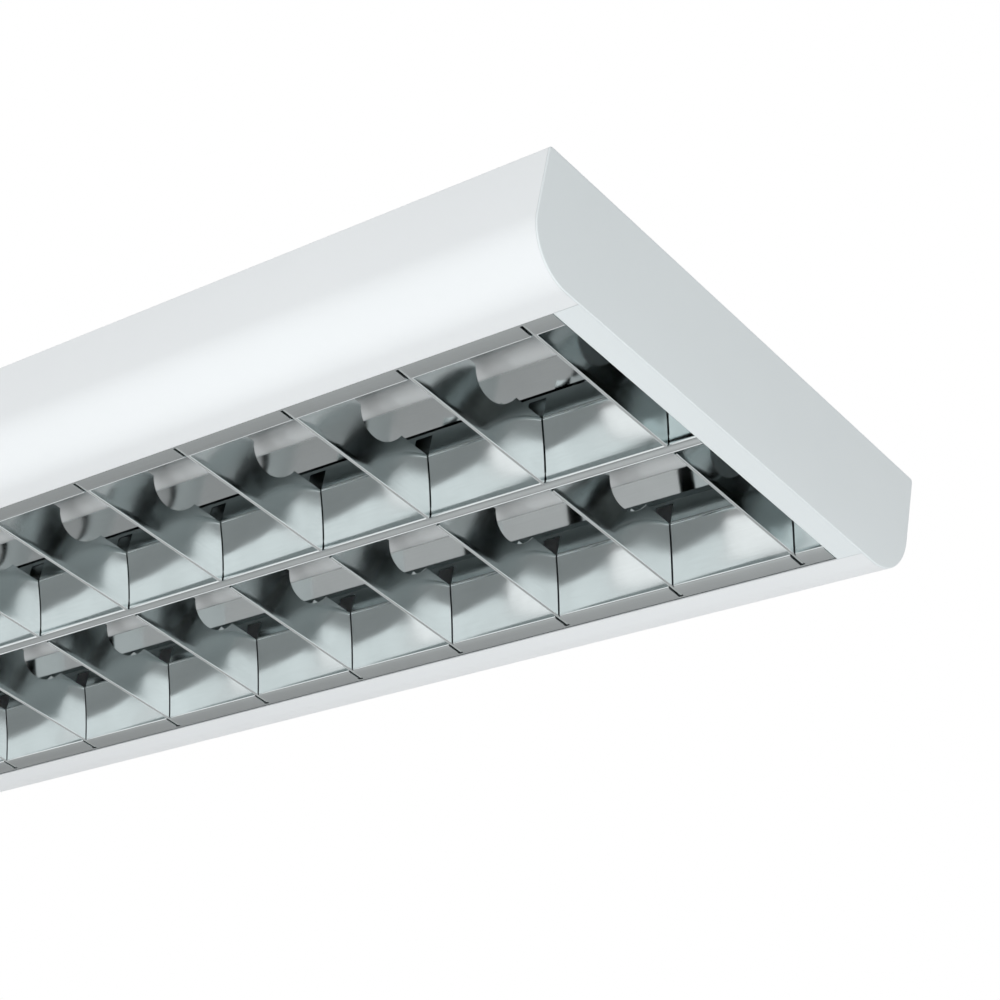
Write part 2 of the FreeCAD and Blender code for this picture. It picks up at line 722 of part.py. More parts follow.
def make_tray():
    """The fixed reflector above the lamps, folded down in the middle to cover the wiring channel."""
    body = new_body("reflector_tray")
    slope = "mirror_sheet * (sqrt(2) - 1)"
    channel = "(centre_fold_radius + wall_lean + tray_channel_margin)"
    crown_in = f"({LAMP_Y} - tray_crown_half)"
    crown_out = f"({LAMP_Y} + tray_crown_half)"
    outside = f"{TRAY_EDGE} + mirror_sheet"
    path = [
        (channel, "-tray_channel_depth"),
        (crown_in, "-tray_crown_depth"),
        (crown_out, "-tray_crown_depth"),
        (TRAY_EDGE, "-tray_edge_depth"),
        (outside, "-tray_edge_depth"),
        (outside, "-steel - mirror_sheet"),
        (f"{outside} + tray_foot", "-steel - mirror_sheet"),
        (f"{outside} + tray_foot", "-steel"),
        (TRAY_EDGE, "-steel"),
        (TRAY_EDGE, "-tray_edge_depth + mirror_sheet"),
        (crown_out, "-tray_crown_depth + mirror_sheet"),
        (f"{crown_in} - {slope}", "-tray_crown_depth + mirror_sheet"),
        (f"{channel} - {slope}", "-tray_channel_depth + mirror_sheet"),
    ]
    extrude(body, "YZ_Plane", minus(TRAY_END), TRAY_END, [mirrored(path)])
    holes = [stud_hole(x, y) for x, y in tray_studs()]
    extrude(body, "XY_Plane", "-3 * steel", "-steel", holes, cut=True)


def tray_studs():
    """Where the studs that hold the tray's feet stand."""
    spots = []
    for place in (-1, 0, 1):
        for row in (1, -1):
            spots.append((f"{place} * tray_stud_span / 2", signed(row, TRAY_STUD_Y)))
    return spots


def make_ballast():
    """The control gear: a bevelled case with fixing ears, and its two connector blocks."""
    body = new_body("ballast_case")
    x_low = "(ballast_x - ballast_length / 2)"
    x_high = "(ballast_x + ballast_length / 2)"
    y = minus(BALLAST_Y)
    half = "ballast_width / 2"
    case = [case_outline(y, "0"), case_outline(y, "ballast_sheet")]
    extrude(body, "YZ_Plane", f"{x_low} + connector_length", f"{x_high} - connector_length", case)
    ear = rectangle(f"{y} - ballast_ear_half", f"{y} + ballast_ear_half",
                    "-steel - ballast_ear_sheet", "-steel")
    extrude(body, "YZ_Plane", f"{x_low} - ballast_ear", f"{x_high} + ballast_ear", [ear])
    holes = [stud_hole(place, y) for place in ballast_studs()]
    extrude(body, "XY_Plane", "-steel - 2 * ballast_ear_sheet", "-steel", holes, cut=True)
    ends = new_body("ballast_connectors")
    block = rectangle(f"{y} - {half} + ballast_bevel", f"{y} + {half} - ballast_bevel",
                      "-steel - ballast_ear_sheet - connector_height", "-steel - ballast_ear_sheet")
    extrude(ends, "YZ_Plane", x_low, f"{x_low} + connector_length", [block])
    extrude(ends, "YZ_Plane", f"{x_high} - connector_length", x_high, [block])


def case_outline(y, inset):
    """The bevelled outline of the ballast's case, or its inner face one sheet in."""
    half = f"(ballast_width / 2 - {inset})"
    floor = f"(-steel - ballast_height + {inset})"
    top = f"-steel - {inset}"
    return [
        (f"{y} - {half}", top),
        (f"{y} - {half}", f"{floor} + ballast_bevel"),
        (f"{y} - {half} + ballast_bevel", floor),
        (f"{y} + {half} - ballast_bevel", floor),
        (f"{y} + {half}", f"{floor} + ballast_bevel"),
        (f"{y} + {half}", top),
    ]


def ballast_studs():
    """Where the ballast's two studs stand along X."""
    return ("(ballast_x - ballast_length / 2 - ballast_ear / 2)",
            "(ballast_x + ballast_length / 2 + ballast_ear / 2)")


def make_terminal():
    """The mains terminal block with its three wire holes and clamp screws."""
    body = new_body("terminal_block")
    x = minus("terminal_x")
    block = rectangle(f"{x} - terminal_length / 2", f"{x} + terminal_length / 2",
                      "-steel - terminal_height", "-steel")
    half = "terminal_width / 2"
    extrude(body, "XZ_Plane", minus(half), half, [block])
    spots = [f"{x} + {place} * terminal_pitch" for place in (-1, 0, 1)]
    wires = [regular(spot, "-steel - terminal_height / 2", "terminal_hole_radius", OCTAGON_SIDE_COUNT)
             for spot in spots]
    extrude(body, "XZ_Plane", minus(half), half, wires, cut=True)
    wells = [regular(spot, "0", "clamp_screw_radius + clamp_screw_gap", OCTAGON_SIDE_COUNT) for spot in spots]
    extrude(body, "XY_Plane", "-steel - terminal_height", "-steel - terminal_height / 2", wells, cut=True)
    screws = new_body("terminal_screws")
    heads = [regular(spot, "0", "clamp_screw_radius", OCTAGON_SIDE_COUNT) for spot in spots]
    extrude(screws, "XY_Plane", "-steel - terminal_height + clamp_screw_recess",
            "-steel - terminal_height / 2 - terminal_hole_radius", heads)


def make_grommet():
    """The rubber bush in the roof's cable hole."""
    body = new_body("cable_grommet")
    x = minus("entry_x")
    extrude(body, "XY_Plane", "-steel - grommet_lip", "-steel", circles=[(x, "0", "grommet_flange")])
    extrude(body, "XY_Plane", "-steel", "0", circles=[(x, "0", "entry_radius - joint_gap")])
    extrude(body, "XY_Plane", "-steel - grommet_lip", "0", circles=[(x, "0", "grommet_bore")], cut=True)


def stud_spots():
    """Where each welded stud stands, with the thickness of the sheet that its nut clamps."""
    spots = []
    for x, y in tray_studs():
        spots.append((x, y, "mirror_sheet"))
    for sign in (1, -1):
        for row in (1, -1):
            cap_x = signed(sign, f"({CAP_IN} - cap_flange / 2)")
            spots.append((cap_x, signed(row, CAP_STUD_Y), "steel"))
            holder_x = signed(sign, f"({HOLDER_BACK} - holder_bracket_foot / 2)")
            spots.append((holder_x, signed(row, HOLDER_STUD_Y), "holder_bracket_sheet"))
    for x in ballast_studs():
        spots.append((x, minus(BALLAST_Y), "ballast_ear_sheet"))
    spots.append(("earth_stud_x", "0", "joint_gap"))
    return spots


def prism(name, sides, radius, height, x, y, foot):
    """An upright many-sided rod, standing on its foot."""
    rod = doc.addObject("Part::Prism", name)
    rod.Polygon = sides
    rod.setExpression("Circumradius", bound(radius))
    rod.setExpression("Height", bound(height))
    for axis, place in (("x", x), ("y", y), ("z", foot)):
        rod.setExpression(f"Placement.Base.{axis}", bound(place))
    return rod


def gather(name, members):
    """Identical pieces that share one node."""
    group = doc.addObject("Part::Compound", name)
    group.Label = name
    group.Links = members
    nodes.append(group)


def make_studs():
    """The studs welded under the roof and the nuts on them, both with few sides because they repeat."""
    studs = []
    nuts = []
    for number, (x, y, clamped) in enumerate(stud_spots(), start=1):
        foot = "-steel - stud_length"
        studs.append(prism(f"stud_{number}", OCTAGON_SIDE_COUNT, "stud_radius", "stud_length", x, y, foot))
        place = (x, y, f"-steel - {clamped} - nut_height")
        nut = doc.addObject("Part::Cut", f"nut_{number}")
        nut.Base = prism(f"nut_blank_{number}", HEXAGON_SIDE_COUNT, "nut_radius", "nut_height", *place)
        nut.Tool = prism(f"nut_bore_{number}", OCTAGON_SIDE_COUNT, "stud_radius + running_gap", "nut_height", *place)
        nuts.append(nut)
    gather("weld_studs", studs)
    gather("hex_nuts", nuts)


def stud_hole(x, y):
    """The clearance hole of a stud."""
    return regular(x, y, "stud_radius + stud_gap", OCTAGON_SIDE_COUNT)


def regular(x, y, radius, sides):
    """A regular many-sided outline about a point, with a corner on the first axis."""
    corners = []
    for number in range(sides):
        turn = f"{360 / sides * number}"
        corners.append((f"{x} + ({radius}) * cos({turn})", f"{y} + ({radius}) * sin({turn})"))
    return corners


def make_everything():
    """Builds each sub-part in the order in which the light is assembled."""
    make_housing()
    for sign, side in SIDES:
        make_end_cap(sign, side)
        make_holder_bracket(sign, side)
        make_hinge_bracket(sign, side)
        make_catch_bracket(sign, side)
        make_spring_clip(sign, side)
        make_end_reflector(sign, side)
    for row, side in ROWS:
        for sign, end in SIDES:
            make_lampholder(row, side, sign, end)
        make_lamp(row, side)
        make_side_reflector(row, side)
    make_centre_reflector()
    for number in range(1, int(SIZES["blade_count"]) + 1):
        make_blade(number)
    make_pins("hinge_pins", 1)
    make_pins("catch_pins", -1)
    make_tray()
    make_ballast()
    make_terminal()
    make_grommet()
    make_studs()


def check_everything():
    """Stops if any object failed, any shape is unsound or any cut removed nothing."""
    for item in doc.Objects:
        if "Invalid" in item.State or "Error" in item.State:
            raise RuntimeError(f"{item.Name} failed: {item.State}")
    for cut in cuts:
        if cut.BaseFeature and cut.Shape.Volume >= cut.BaseFeature.Shape.Volume - 1e-6:
            raise RuntimeError(f"{cut.Name} cuts nothing")
    for node in nodes:
        if node.Shape.isNull() or not node.Shape.isValid() or not node.Shape.Solids:
            raise RuntimeError(f"{node.Label} has no sound shape")


def write_parts():
    """Writes one STEP file per sub-part, named after it."""
    os.makedirs("parts", exist_ok=True)
    for node in nodes:
        node.Shape.exportStep(os.path.join("parts", f"{node.Label}.step"))
        print(f"{node.Label}: {len(node.Shape.Solids)} solid(s), {node.Shape.Volume / 1000:.2f} cm3")


fill_sheet()
make_everything()
doc.recompute()
check_everything()
write_parts()
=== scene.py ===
"""Dresses the surface-mounted twin-lamp ceiling light with its hinged parabolic louvre.

Lengths are written in millimetres and turned into metres where a mesh is made. The frame is the
light's own: origin in the middle of the ceiling face, +X along the lamps, +Z into the ceiling.
"""
import logging
from dataclasses import dataclass
from enum import Enum
from math import radians
from typing import Callable, Iterable, Optional, Sequence

import bmesh
import bpy
import numpy as np
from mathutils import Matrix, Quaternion, Vector
from mathutils.geometry import delaunay_2d_cdt


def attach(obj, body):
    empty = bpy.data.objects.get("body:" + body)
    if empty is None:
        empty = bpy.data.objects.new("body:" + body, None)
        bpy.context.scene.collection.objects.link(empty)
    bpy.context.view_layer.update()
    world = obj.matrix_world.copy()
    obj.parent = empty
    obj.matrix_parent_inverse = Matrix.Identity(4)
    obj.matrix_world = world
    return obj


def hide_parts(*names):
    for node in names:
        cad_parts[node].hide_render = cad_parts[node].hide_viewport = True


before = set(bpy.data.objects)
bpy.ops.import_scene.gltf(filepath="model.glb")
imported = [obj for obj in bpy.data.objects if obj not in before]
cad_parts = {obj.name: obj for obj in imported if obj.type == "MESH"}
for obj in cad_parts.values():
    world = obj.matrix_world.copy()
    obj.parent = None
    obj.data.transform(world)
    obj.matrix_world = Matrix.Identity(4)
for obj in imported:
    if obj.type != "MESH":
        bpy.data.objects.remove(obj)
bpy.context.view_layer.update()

log = logging.getLogger("ceiling_light")

METRES = 0.001
SIDES: tuple[tuple[int, str], ...] = ((1, "right"), (-1, "left"))
ROWS: tuple[tuple[int, str], ...] = ((-1, "front"), (1, "rear"))
Colour = tuple[float, float, float]
Mesh = tuple[np.ndarray, list[list[int]]]
Piece = bpy.types.Object
Node = bpy.types.Node
Socket = bpy.types.NodeSocket
Tree = bpy.types.NodeTree


class Body(Enum):
    """The rigid bodies that pieces ride on."""

    HOUSING = "housing"
    LOUVRE = "louvre"
    LAMP_FRONT = "lamp_front"
    LAMP_REAR = "lamp_rear"


class Grain(Enum):
    """Which way a sheet was rolled, as the stretch of its grain along X, Y and Z."""

    ALONG_X = (0.02, 1.0, 1.0)
    ALONG_Y = (1.0, 0.02, 1.0)


# ---------------------------------------------------------------- mesh tools


def new_piece(name: str, points: np.ndarray, faces: Sequence[Sequence[int]]) -> Piece:
    """Makes an object from points in millimetres.

    Args:
        name: The piece's name.
        points: Array of shape (n, 3).
        faces: Vertex indices of each face.

    Returns:
        The linked object.
    """
    mesh = bpy.data.meshes.new(name)
    mesh.from_pydata((np.asarray(points, float) * METRES).tolist(), [], [list(face) for face in faces])
    mesh.update()
    piece = bpy.data.objects.new(name, mesh)
    bpy.context.scene.collection.objects.link(piece)
    return piece


def grid_faces(rows: int, columns: int, keep: Optional[np.ndarray] = None,
               around: bool = False) -> np.ndarray:
    """Quads of a grid: corner (r, c) goes to (r, c+1), (r+1, c+1), (r+1, c).

    Args:
        rows: Number of rows of points.
        columns: Number of points in a row.
        keep: Which quads to keep, as booleans of shape (rows - 1, quads in a row).
        around: Whether the last column joins the first.

    Returns:
        Array of shape (quads, 4).
    """
    wide = columns if around else columns - 1
    row, column = np.meshgrid(np.arange(rows - 1), np.arange(wide), indexing="ij")
    after = (column + 1) % columns
    quads = np.stack([row * columns + column, row * columns + after,
                      (row + 1) * columns + after, (row + 1) * columns + column], axis=-1)
    return quads[keep] if keep is not None else quads.reshape(-1, 4)


def cleaned(piece: Piece, flip: bool = False, outwards: bool = False) -> Piece:
    """Merges doubled points, drops loose ones and turns the faces as asked.

    Args:
        piece: The mesh object.
        flip: Whether to turn every face round.
        outwards: Whether to make a closed shell's faces point out.

    Returns:
        The same object.
    """
    work = bmesh.new()
    work.from_mesh(piece.data)
    bmesh.ops.remove_doubles(work, verts=work.verts, dist=1e-6)
    bmesh.ops.delete(work, geom=[v for v in work.verts if not v.link_faces], context="VERTS")
    if outwards:
        bmesh.ops.recalc_face_normals(work, faces=work.faces)
    if flip:
        bmesh.ops.reverse_faces(work, faces=work.faces)
    work.to_mesh(piece.data)
    work.free()
    return piece


def smoothed(piece: Piece, angle: float = 32.0) -> Piece:
    """Applies the piece's modifiers, then shades it smooth except across edges sharper than the angle.

    Args:
        piece: The mesh object.
        angle: The sharpest smooth edge, in degrees.

    Returns:
        The same object.
    """
    evaluated = piece.evaluated_get(bpy.context.evaluated_depsgraph_get())
    mesh = bpy.data.meshes.new_from_object(evaluated)
    piece.modifiers.clear()
    piece.data = mesh
    mesh.name = piece.name
    mesh.polygons.foreach_set("use_smooth", np.ones(len(mesh.polygons), bool))
    mesh.set_sharp_from_angle(angle=radians(angle))
    mesh.update()
    return piece


def thickened(piece: Piece, thickness: float) -> Piece:
    """Gives a skin its sheet's thickness, on the side away from its faces.

    Args:
        piece: The skin.
        thickness: In millimetres.

    Returns:
        The same object.
    """
    solid = piece.modifiers.new("sheet", "SOLIDIFY")
    solid.thickness = thickness * METRES
    solid.offset = -1.0
    solid.use_even_offset = True
    solid.use_quality_normals = True
    return piece


def revolved(profile: np.ndarray, centre: Sequence[float], sides: int = 48) -> tuple[np.ndarray, np.ndarray]:
    """Turns a closed profile round a line along X: point = centre + (x, radius * cos a, radius * sin a).

    Args:
        profile: Rows of (distance along X, radius).
        centre: Where the line stands, in Y and Z.
        sides: Number of steps round.

    Returns:
        The points and the quads.
    """
    turn = np.linspace(0, 2 * np.pi, sides, endpoint=False)
    along = np.repeat(profile[:, :1], sides, axis=1)
    across = centre[0] + profile[:, 1:] * np.cos(turn)
    upwards = centre[1] + profile[:, 1:] * np.sin(turn)
    points = np.stack((along, across, upwards), axis=-1).reshape(-1, 3)
    return points, grid_faces(len(profile), sides, around=True)


def arc(centre: Sequence[float], radius: float, start: float, end: float, steps: int) -> np.ndarray:
    """Points of an arc: centre + radius * (cos a, sin a), with a in degrees from start to end."""
    turn = np.radians(np.linspace(start, end, steps + 1))
    return np.stack([centre[0] + radius * np.cos(turn), centre[1] + radius * np.sin(turn)], axis=1)


def ring(centre: Sequence[float], radius: float, sides: int) -> np.ndarray:
    """Points of a whole circle, the first one not repeated."""
    return arc(centre, radius, 0, 360 - 360 / sides, sides - 1)


def finished(piece: Piece, body: Body, finish: "Finish",
             nodes: Iterable[str] = ()) -> Piece:
    """Dresses a finished piece, sets it on its body and hides the CAD nodes that it stands for.

    Args:
        piece: The finished mesh object.
        body: What it rides on.
        finish: Its finish.
        nodes: CAD nodes that it replaces.

    Returns:
        The same object.
    """
    piece.data.materials.clear()
    piece.data.materials.append(finish.material())
    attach(piece, body.value)
    names = tuple(nodes)
    if names:
        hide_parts(*names)
    log.info("%s: %d faces on %s", piece.name, len(piece.data.polygons), body.value)
    return piece


# ---------------------------------------------------------------- materials


class Canvas:
    """A node tree with short ways to add, set and join nodes."""

    def __init__(self, tree: Tree) -> None:
        """Takes the tree and empties it."""
        self.tree = tree
        tree.nodes.clear()

    def add(self, kind: str, **settings: object) -> Node:
        """Adds a node and sets its own properties.

        Args:
            kind: The node's type without the leading "ShaderNode".
            settings: Properties of the node.

        Returns:
            The node.
        """
        node = self.tree.nodes.new("ShaderNode" + kind)
        for key, value in settings.items():
            setattr(node, key, value)
        return node

    def join(self, source: Socket, target: Socket) -> None:
        """Links two sockets."""
        self.tree.links.new(source, target)

    def noise(self, place: Socket, scale: float, detail: float = 2.0,
              rough: float = 0.5) -> Socket:
        """A noise value that reads the given coordinates."""
        node = self.add("TexNoise")
        node.inputs["Scale"].default_value = scale
        node.inputs["Detail"].default_value = detail
        node.inputs["Roughness"].default_value = rough
        self.join(place, node.inputs["Vector"])
        return node.outputs["Fac"]

    def spread(self, value: Socket, low: float, high: float, to_low: float,
               to_high: float) -> Socket:
        """Maps a value from one range to another, clamped."""
        node = self.add("MapRange")
        for key, number in zip(("From Min", "From Max", "To Min", "To Max"),
                               (low, high, to_low, to_high)):
            node.inputs[key].default_value = number
        self.join(value, node.inputs["Value"])
        return node.outputs["Result"]

    def sum(self, first: Socket, second: Socket,
            operation: str = "ADD") -> Socket:
        """Adds, or otherwise combines, two values."""
        node = self.add("Math", operation=operation)
        self.join(first, node.inputs[0])
        self.join(second, node.inputs[1])
        return node.outputs[0]

    def tinted(self, colour: Socket, factor: Socket) -> Socket:
        """A colour darkened or lightened by a factor near one."""
        node = self.add("VectorMath", operation="SCALE")
        self.join(colour, node.inputs[0])
        self.join(factor, node.inputs["Scale"])
        return node.outputs[0]

    def coordinates(self) -> Socket:
        """Object coordinates, in metres."""
        return self.add("TexCoord").outputs["Object"]

    def stretched(self, place: Socket, scale: Sequence[float]) -> Socket:
        """Coordinates scaled along each axis."""
        node = self.add("Mapping")
        node.inputs["Scale"].default_value = tuple(scale)
        self.join(place, node.inputs["Vector"])
        return node.outputs["Vector"]


def shared_group(name: str, inputs: Sequence[tuple[str, str]], outputs: Sequence[tuple[str, str]],
                 fill: Callable[[Canvas, Node, Node], None]) -> Tree:
    """The shader node group of that name, made on first use.

    Args:
        name: The group's name.
        inputs: Pairs of name and socket type.
        outputs: Pairs of name and socket type.
        fill: Lays out the nodes between the group's input and output nodes.

    Returns:
        The group.
    """
    if name in bpy.data.node_groups:
        return bpy.data.node_groups[name]
    group = bpy.data.node_groups.new(name, "ShaderNodeTree")
    for way, sockets in (("INPUT", inputs), ("OUTPUT", outputs)):
        for label, kind in sockets:
            group.interface.new_socket(name=label, in_out=way, socket_type=f"NodeSocket{kind}")
    canvas = Canvas(group)
    fill(canvas, group.nodes.new("NodeGroupInput"), group.nodes.new("NodeGroupOutput"))
    return group


def powder_coat_group() -> Tree:
    """Powder coat: a fine orange peel, a slow drift of tone and a roughness that varies from place to place.
    """

    def fill(canvas: Canvas, source: Node, result: Node) -> None:
        """Lays out the nodes between the group's inputs and outputs."""
        place = canvas.coordinates()
        peel = canvas.add("TexNoise")
        peel.inputs["Detail"].default_value = 1.0
        canvas.join(place, peel.inputs["Vector"])
        canvas.join(source.outputs["Peel Size"], peel.inputs["Scale"])
        slow = canvas.spread(canvas.noise(place, 6.0, 3.0), 0.3, 0.7, -0.5, 0.5)
        drift = canvas.sum(slow, source.outputs["Drift"], "MULTIPLY")
        one = canvas.add("Math", operation="ADD")
        one.inputs[1].default_value = 1.0
        canvas.join(drift, one.inputs[0])
        canvas.join(canvas.tinted(source.outputs["Colour"], one.outputs[0]), result.inputs["Colour"])
        canvas.join(canvas.spread(canvas.noise(place, 45.0, 4.0), 0.3, 0.7, 0.36, 0.46),
                    result.inputs["Roughness"])
        canvas.join(peel.outputs["Fac"], result.inputs["Height"])

    return shared_group("powder_coat", (("Colour", "Color"), ("Peel Size", "Float"), ("Drift", "Float")),
                        (("Colour", "Color"), ("Roughness", "Float"), ("Height", "Float")), fill)


def rolled_sheet_group() -> Tree:
    """Rolled, anodised sheet: fine lines along the roll, a slow waviness and light smudges."""

    def fill(canvas: Canvas, source: Node, result: Node) -> None:
        """Lays out the nodes between the group's inputs and outputs."""
        place = canvas.coordinates()
        lines = canvas.noise(source.outputs["Stretched"], 2600.0, 2.0, 0.5)
        smudge = canvas.noise(place, 38.0, 4.0, 0.55)
        slow = canvas.noise(place, 22.0, 1.0)
        mixed = canvas.add("MapRange")
        mixed.inputs["From Min"].default_value = 0.35
        mixed.inputs["From Max"].default_value = 0.7
        canvas.join(smudge, mixed.inputs["Value"])
        canvas.join(source.outputs["Low"], mixed.inputs["To Min"])
        canvas.join(source.outputs["High"], mixed.inputs["To Max"])
        canvas.join(mixed.outputs["Result"], result.inputs["Roughness"])
        tone = canvas.sum(canvas.spread(lines, 0.3, 0.7, -0.02, 0.02),
                          canvas.spread(smudge, 0.3, 0.8, 1.0, 0.93))
        canvas.join(canvas.tinted(source.outputs["Colour"], tone), result.inputs["Colour"])
        fine = canvas.add("Math", operation="MULTIPLY")
        fine.inputs[1].default_value = 0.004
        canvas.join(lines, fine.inputs[0])
        canvas.join(canvas.sum(fine.outputs[0], canvas.sum(slow, source.outputs["Waviness"], "MULTIPLY")),
                    result.inputs["Height"])

    return shared_group("rolled_sheet", (("Colour", "Color"), ("Stretched", "Vector"), ("Low", "Float"),
                        ("High", "Float"), ("Waviness", "Float")),
                        (("Colour", "Color"), ("Roughness", "Float"), ("Height", "Float")), fill)


def moulded_group() -> Tree:
    """Moulded or cast surface: a fine spark texture and a slightly uneven tone."""

    def fill(canvas: Canvas, source: Node, result: Node) -> None:
        """Lays out the nodes between the group's inputs and outputs."""
        place = canvas.coordinates()
        spark = canvas.add("TexNoise")
        spark.inputs["Detail"].default_value = 3.0
        canvas.join(place, spark.inputs["Vector"])
        canvas.join(source.outputs["Texture"], spark.inputs["Scale"])
        blotch = canvas.spread(canvas.noise(place, 90.0, 3.0), 0.3, 0.7, -0.5, 0.5)
        factor = canvas.add("Math", operation="MULTIPLY_ADD")
        factor.inputs[2].default_value = 1.0
        canvas.join(blotch, factor.inputs[0])
        canvas.join(source.outputs["Unevenness"], factor.inputs[1])
        canvas.join(canvas.tinted(source.outputs["Colour"], factor.outputs[0]), result.inputs["Colour"])
        canvas.join(canvas.noise(place, 160.0, 4.0), result.inputs["Mask"])
        canvas.join(spark.outputs["Fac"], result.inputs["Height"])

    return shared_group("moulded", (("Colour", "Color"), ("Texture", "Float"), ("Unevenness", "Float")),
                        (("Colour", "Color"), ("Mask", "Float"), ("Height", "Float")), fill)


@dataclass(frozen=True)
class Finish:
    """A finish that one or more pieces share.

    Attributes:
        name: The material's name.
        colour: Its plain colour, linear.
    """

    name: str
    colour: Colour

    def material(self) -> bpy.types.Material:
        """The finish as a material, made on first use."""
        known = bpy.data.materials.get(self.name)
        if known:
            return known
        material = bpy.data.materials.new(self.name)
        material.use_nodes = True
        material.diffuse_color = (*self.colour, 1.0)
        canvas = Canvas(material.node_tree)
        shader = canvas.add("BsdfPrincipled")
        output = canvas.add("OutputMaterial")
        canvas.join(shader.outputs["BSDF"], output.inputs["Surface"])
        self.dress(canvas, shader)
        return material

    def dress(self, canvas: Canvas, shader: Node) -> None:
        """Adds what is special to the finish."""
        raise NotImplementedError

    def placed(self, canvas: Canvas, group: Tree) -> Node:
        """Places a shared group in the material, with the finish's colour on it."""
        node = canvas.add("Group")
        node.node_tree = group
        node.inputs["Colour"].default_value = (*self.colour, 1.0)
        return node

    def bumped(self, canvas: Canvas, shader: Node, height: Socket,
               depth: float) -> None:
        """Feeds a height in metres to the shader's normal."""
        bump = canvas.add("Bump")
        bump.inputs["Strength"].default_value = 1.0
        bump.inputs["Distance"].default_value = depth
        canvas.join(height, bump.inputs["Height"])
        canvas.join(bump.outputs["Normal"], shader.inputs["Normal"])


@dataclass(frozen=True)
class Paint(Finish):
    """Powder coat on steel.

    Attributes:
        peel: Scale of the orange peel.
        depth: Its height, in metres.
        drift: How far the tone drifts.
    """

    peel: float = 700.0
    depth: float = 0.00002
    drift: float = 0.03

    def dress(self, canvas: Canvas, shader: Node) -> None:
        """Joins the powder coat group to a plain dielectric shader."""
        coat = self.placed(canvas, powder_coat_group())
        coat.inputs["Peel Size"].default_value = self.peel
        coat.inputs["Drift"].default_value = self.drift
        canvas.join(coat.outputs["Colour"], shader.inputs["Base Color"])
        canvas.join(coat.outputs["Roughness"], shader.inputs["Roughness"])
        self.bumped(canvas, shader, coat.outputs["Height"], self.depth)


@dataclass(frozen=True)
class Sheet(Finish):
    """Bright or satin metal sheet with a rolling direction.

    Attributes:
        low: Least roughness.
        high: Most roughness.
        waviness: Share of the slow waviness in the height.
        depth: Height of the relief, in metres.
        grain: Which way the sheet was rolled.
    """

    low: float = 0.08
    high: float = 0.14
    waviness: float = 0.6
    depth: float = 0.0004
    grain: Grain = Grain.ALONG_X

    def dress(self, canvas: Canvas, shader: Node) -> None:
        """Joins the rolled sheet group to a metal shader."""
        roll = self.placed(canvas, rolled_sheet_group())
        canvas.join(canvas.stretched(canvas.coordinates(), self.grain.value), roll.inputs["Stretched"])
        for key, value in (("Low", self.low), ("High", self.high), ("Waviness", self.waviness)):
            roll.inputs[key].default_value = value
        shader.inputs["Metallic"].default_value = 1.0
        canvas.join(roll.outputs["Colour"], shader.inputs["Base Color"])
        canvas.join(roll.outputs["Roughness"], shader.inputs["Roughness"])
        self.bumped(canvas, shader, roll.outputs["Height"], self.depth)


@dataclass(frozen=True)
class Moulding(Finish):
    """Moulded plastic, rubber or a cast or plated metal part.

    Attributes:
        metallic: 1 for metal.
        low: Least roughness.
        high: Most roughness.
        texture: Scale of the spark texture.
        depth: Its height, in metres.
        unevenness: How far the tone varies.
        coat: Weight of a clear coat.
    """

    metallic: float = 0.0
    low: float = 0.35
    high: float = 0.5
    texture: float = 1800.0
    depth: float = 0.00002
    unevenness: float = 0.06
    coat: float = 0.0

    def dress(self, canvas: Canvas, shader: Node) -> None:
        """Joins the moulded group to the shader."""
        skin = self.placed(canvas, moulded_group())
        skin.inputs["Texture"].default_value = self.texture
        skin.inputs["Unevenness"].default_value = self.unevenness
        shader.inputs["Metallic"].default_value = self.metallic
        shader.inputs["Coat Weight"].default_value = self.coat
        canvas.join(skin.outputs["Colour"], shader.inputs["Base Color"])
        canvas.join(canvas.spread(skin.outputs["Mask"], 0.3, 0.7, self.low, self.high),
                    shader.inputs["Roughness"])
        self.bumped(canvas, shader, skin.outputs["Height"], self.depth)


@dataclass(frozen=True)
class Spangle(Finish):
    """Zinc-plated steel with its crystals.

    Attributes:
        crystals: Scale of the crystals.
    """

    crystals: float = 260.0

    def dress(self, canvas: Canvas, shader: Node) -> None:
        """Varies tone and roughness from crystal to crystal."""
        cells = canvas.add("TexVoronoi")
        cells.inputs["Scale"].default_value = self.crystals
        canvas.join(canvas.coordinates(), cells.inputs["Vector"])
        tone = canvas.add("SeparateColor")
        canvas.join(cells.outputs["Color"], tone.inputs[0])
        plain = canvas.add("RGB")
        plain.outputs[0].default_value = (*self.colour, 1.0)
        canvas.join(canvas.tinted(plain.outputs[0], canvas.spread(tone.outputs[0], 0, 1, 0.86, 1.1)),
                    shader.inputs["Base Color"])
        canvas.join(canvas.spread(tone.outputs[1], 0, 1, 0.25, 0.42), shader.inputs["Roughness"])
        shader.inputs["Metallic"].default_value = 1.0
        self.bumped(canvas, shader, cells.outputs["Distance"], 0.00002)


HOUSING_WHITE = Paint("housing_powder_coat", (0.79, 0.82, 0.835))
CAP_WHITE = Paint("end_cap_powder_coat", (0.745, 0.80, 0.815), drift=0.025)
BALLAST_WHITE = Paint("ballast_lacquer", (0.70, 0.72, 0.73), peel=1100.0)
MIRROR_LONG = Sheet("mirror_sheet_long", (0.78, 0.83, 0.835))
MIRROR_CROSS = Sheet("mirror_sheet_cross", (0.78, 0.83, 0.835), grain=Grain.ALONG_Y)
TRAY_SHEET = Sheet("tray_sheet", (0.70, 0.745, 0.75))
# The lamp's white coated glass is coloured grey as painted shade: the tube hangs in the housing's shadow.
SHADED_LAMP_GLASS = Moulding("coated_glass_painted_shade", (0.60, 0.625, 0.63), low=0.12, high=0.18, texture=500.0,
                      depth=0.000004, unevenness=0.02, coat=0.4)
LAMP_CAP = Sheet("lamp_cap_aluminium", (0.72, 0.73, 0.74), low=0.26, high=0.36, waviness=0.1,
                 grain=Grain.ALONG_Y)
BRASS = Moulding("contact_brass", (0.72, 0.55, 0.28), metallic=1.0, low=0.2, high=0.35)
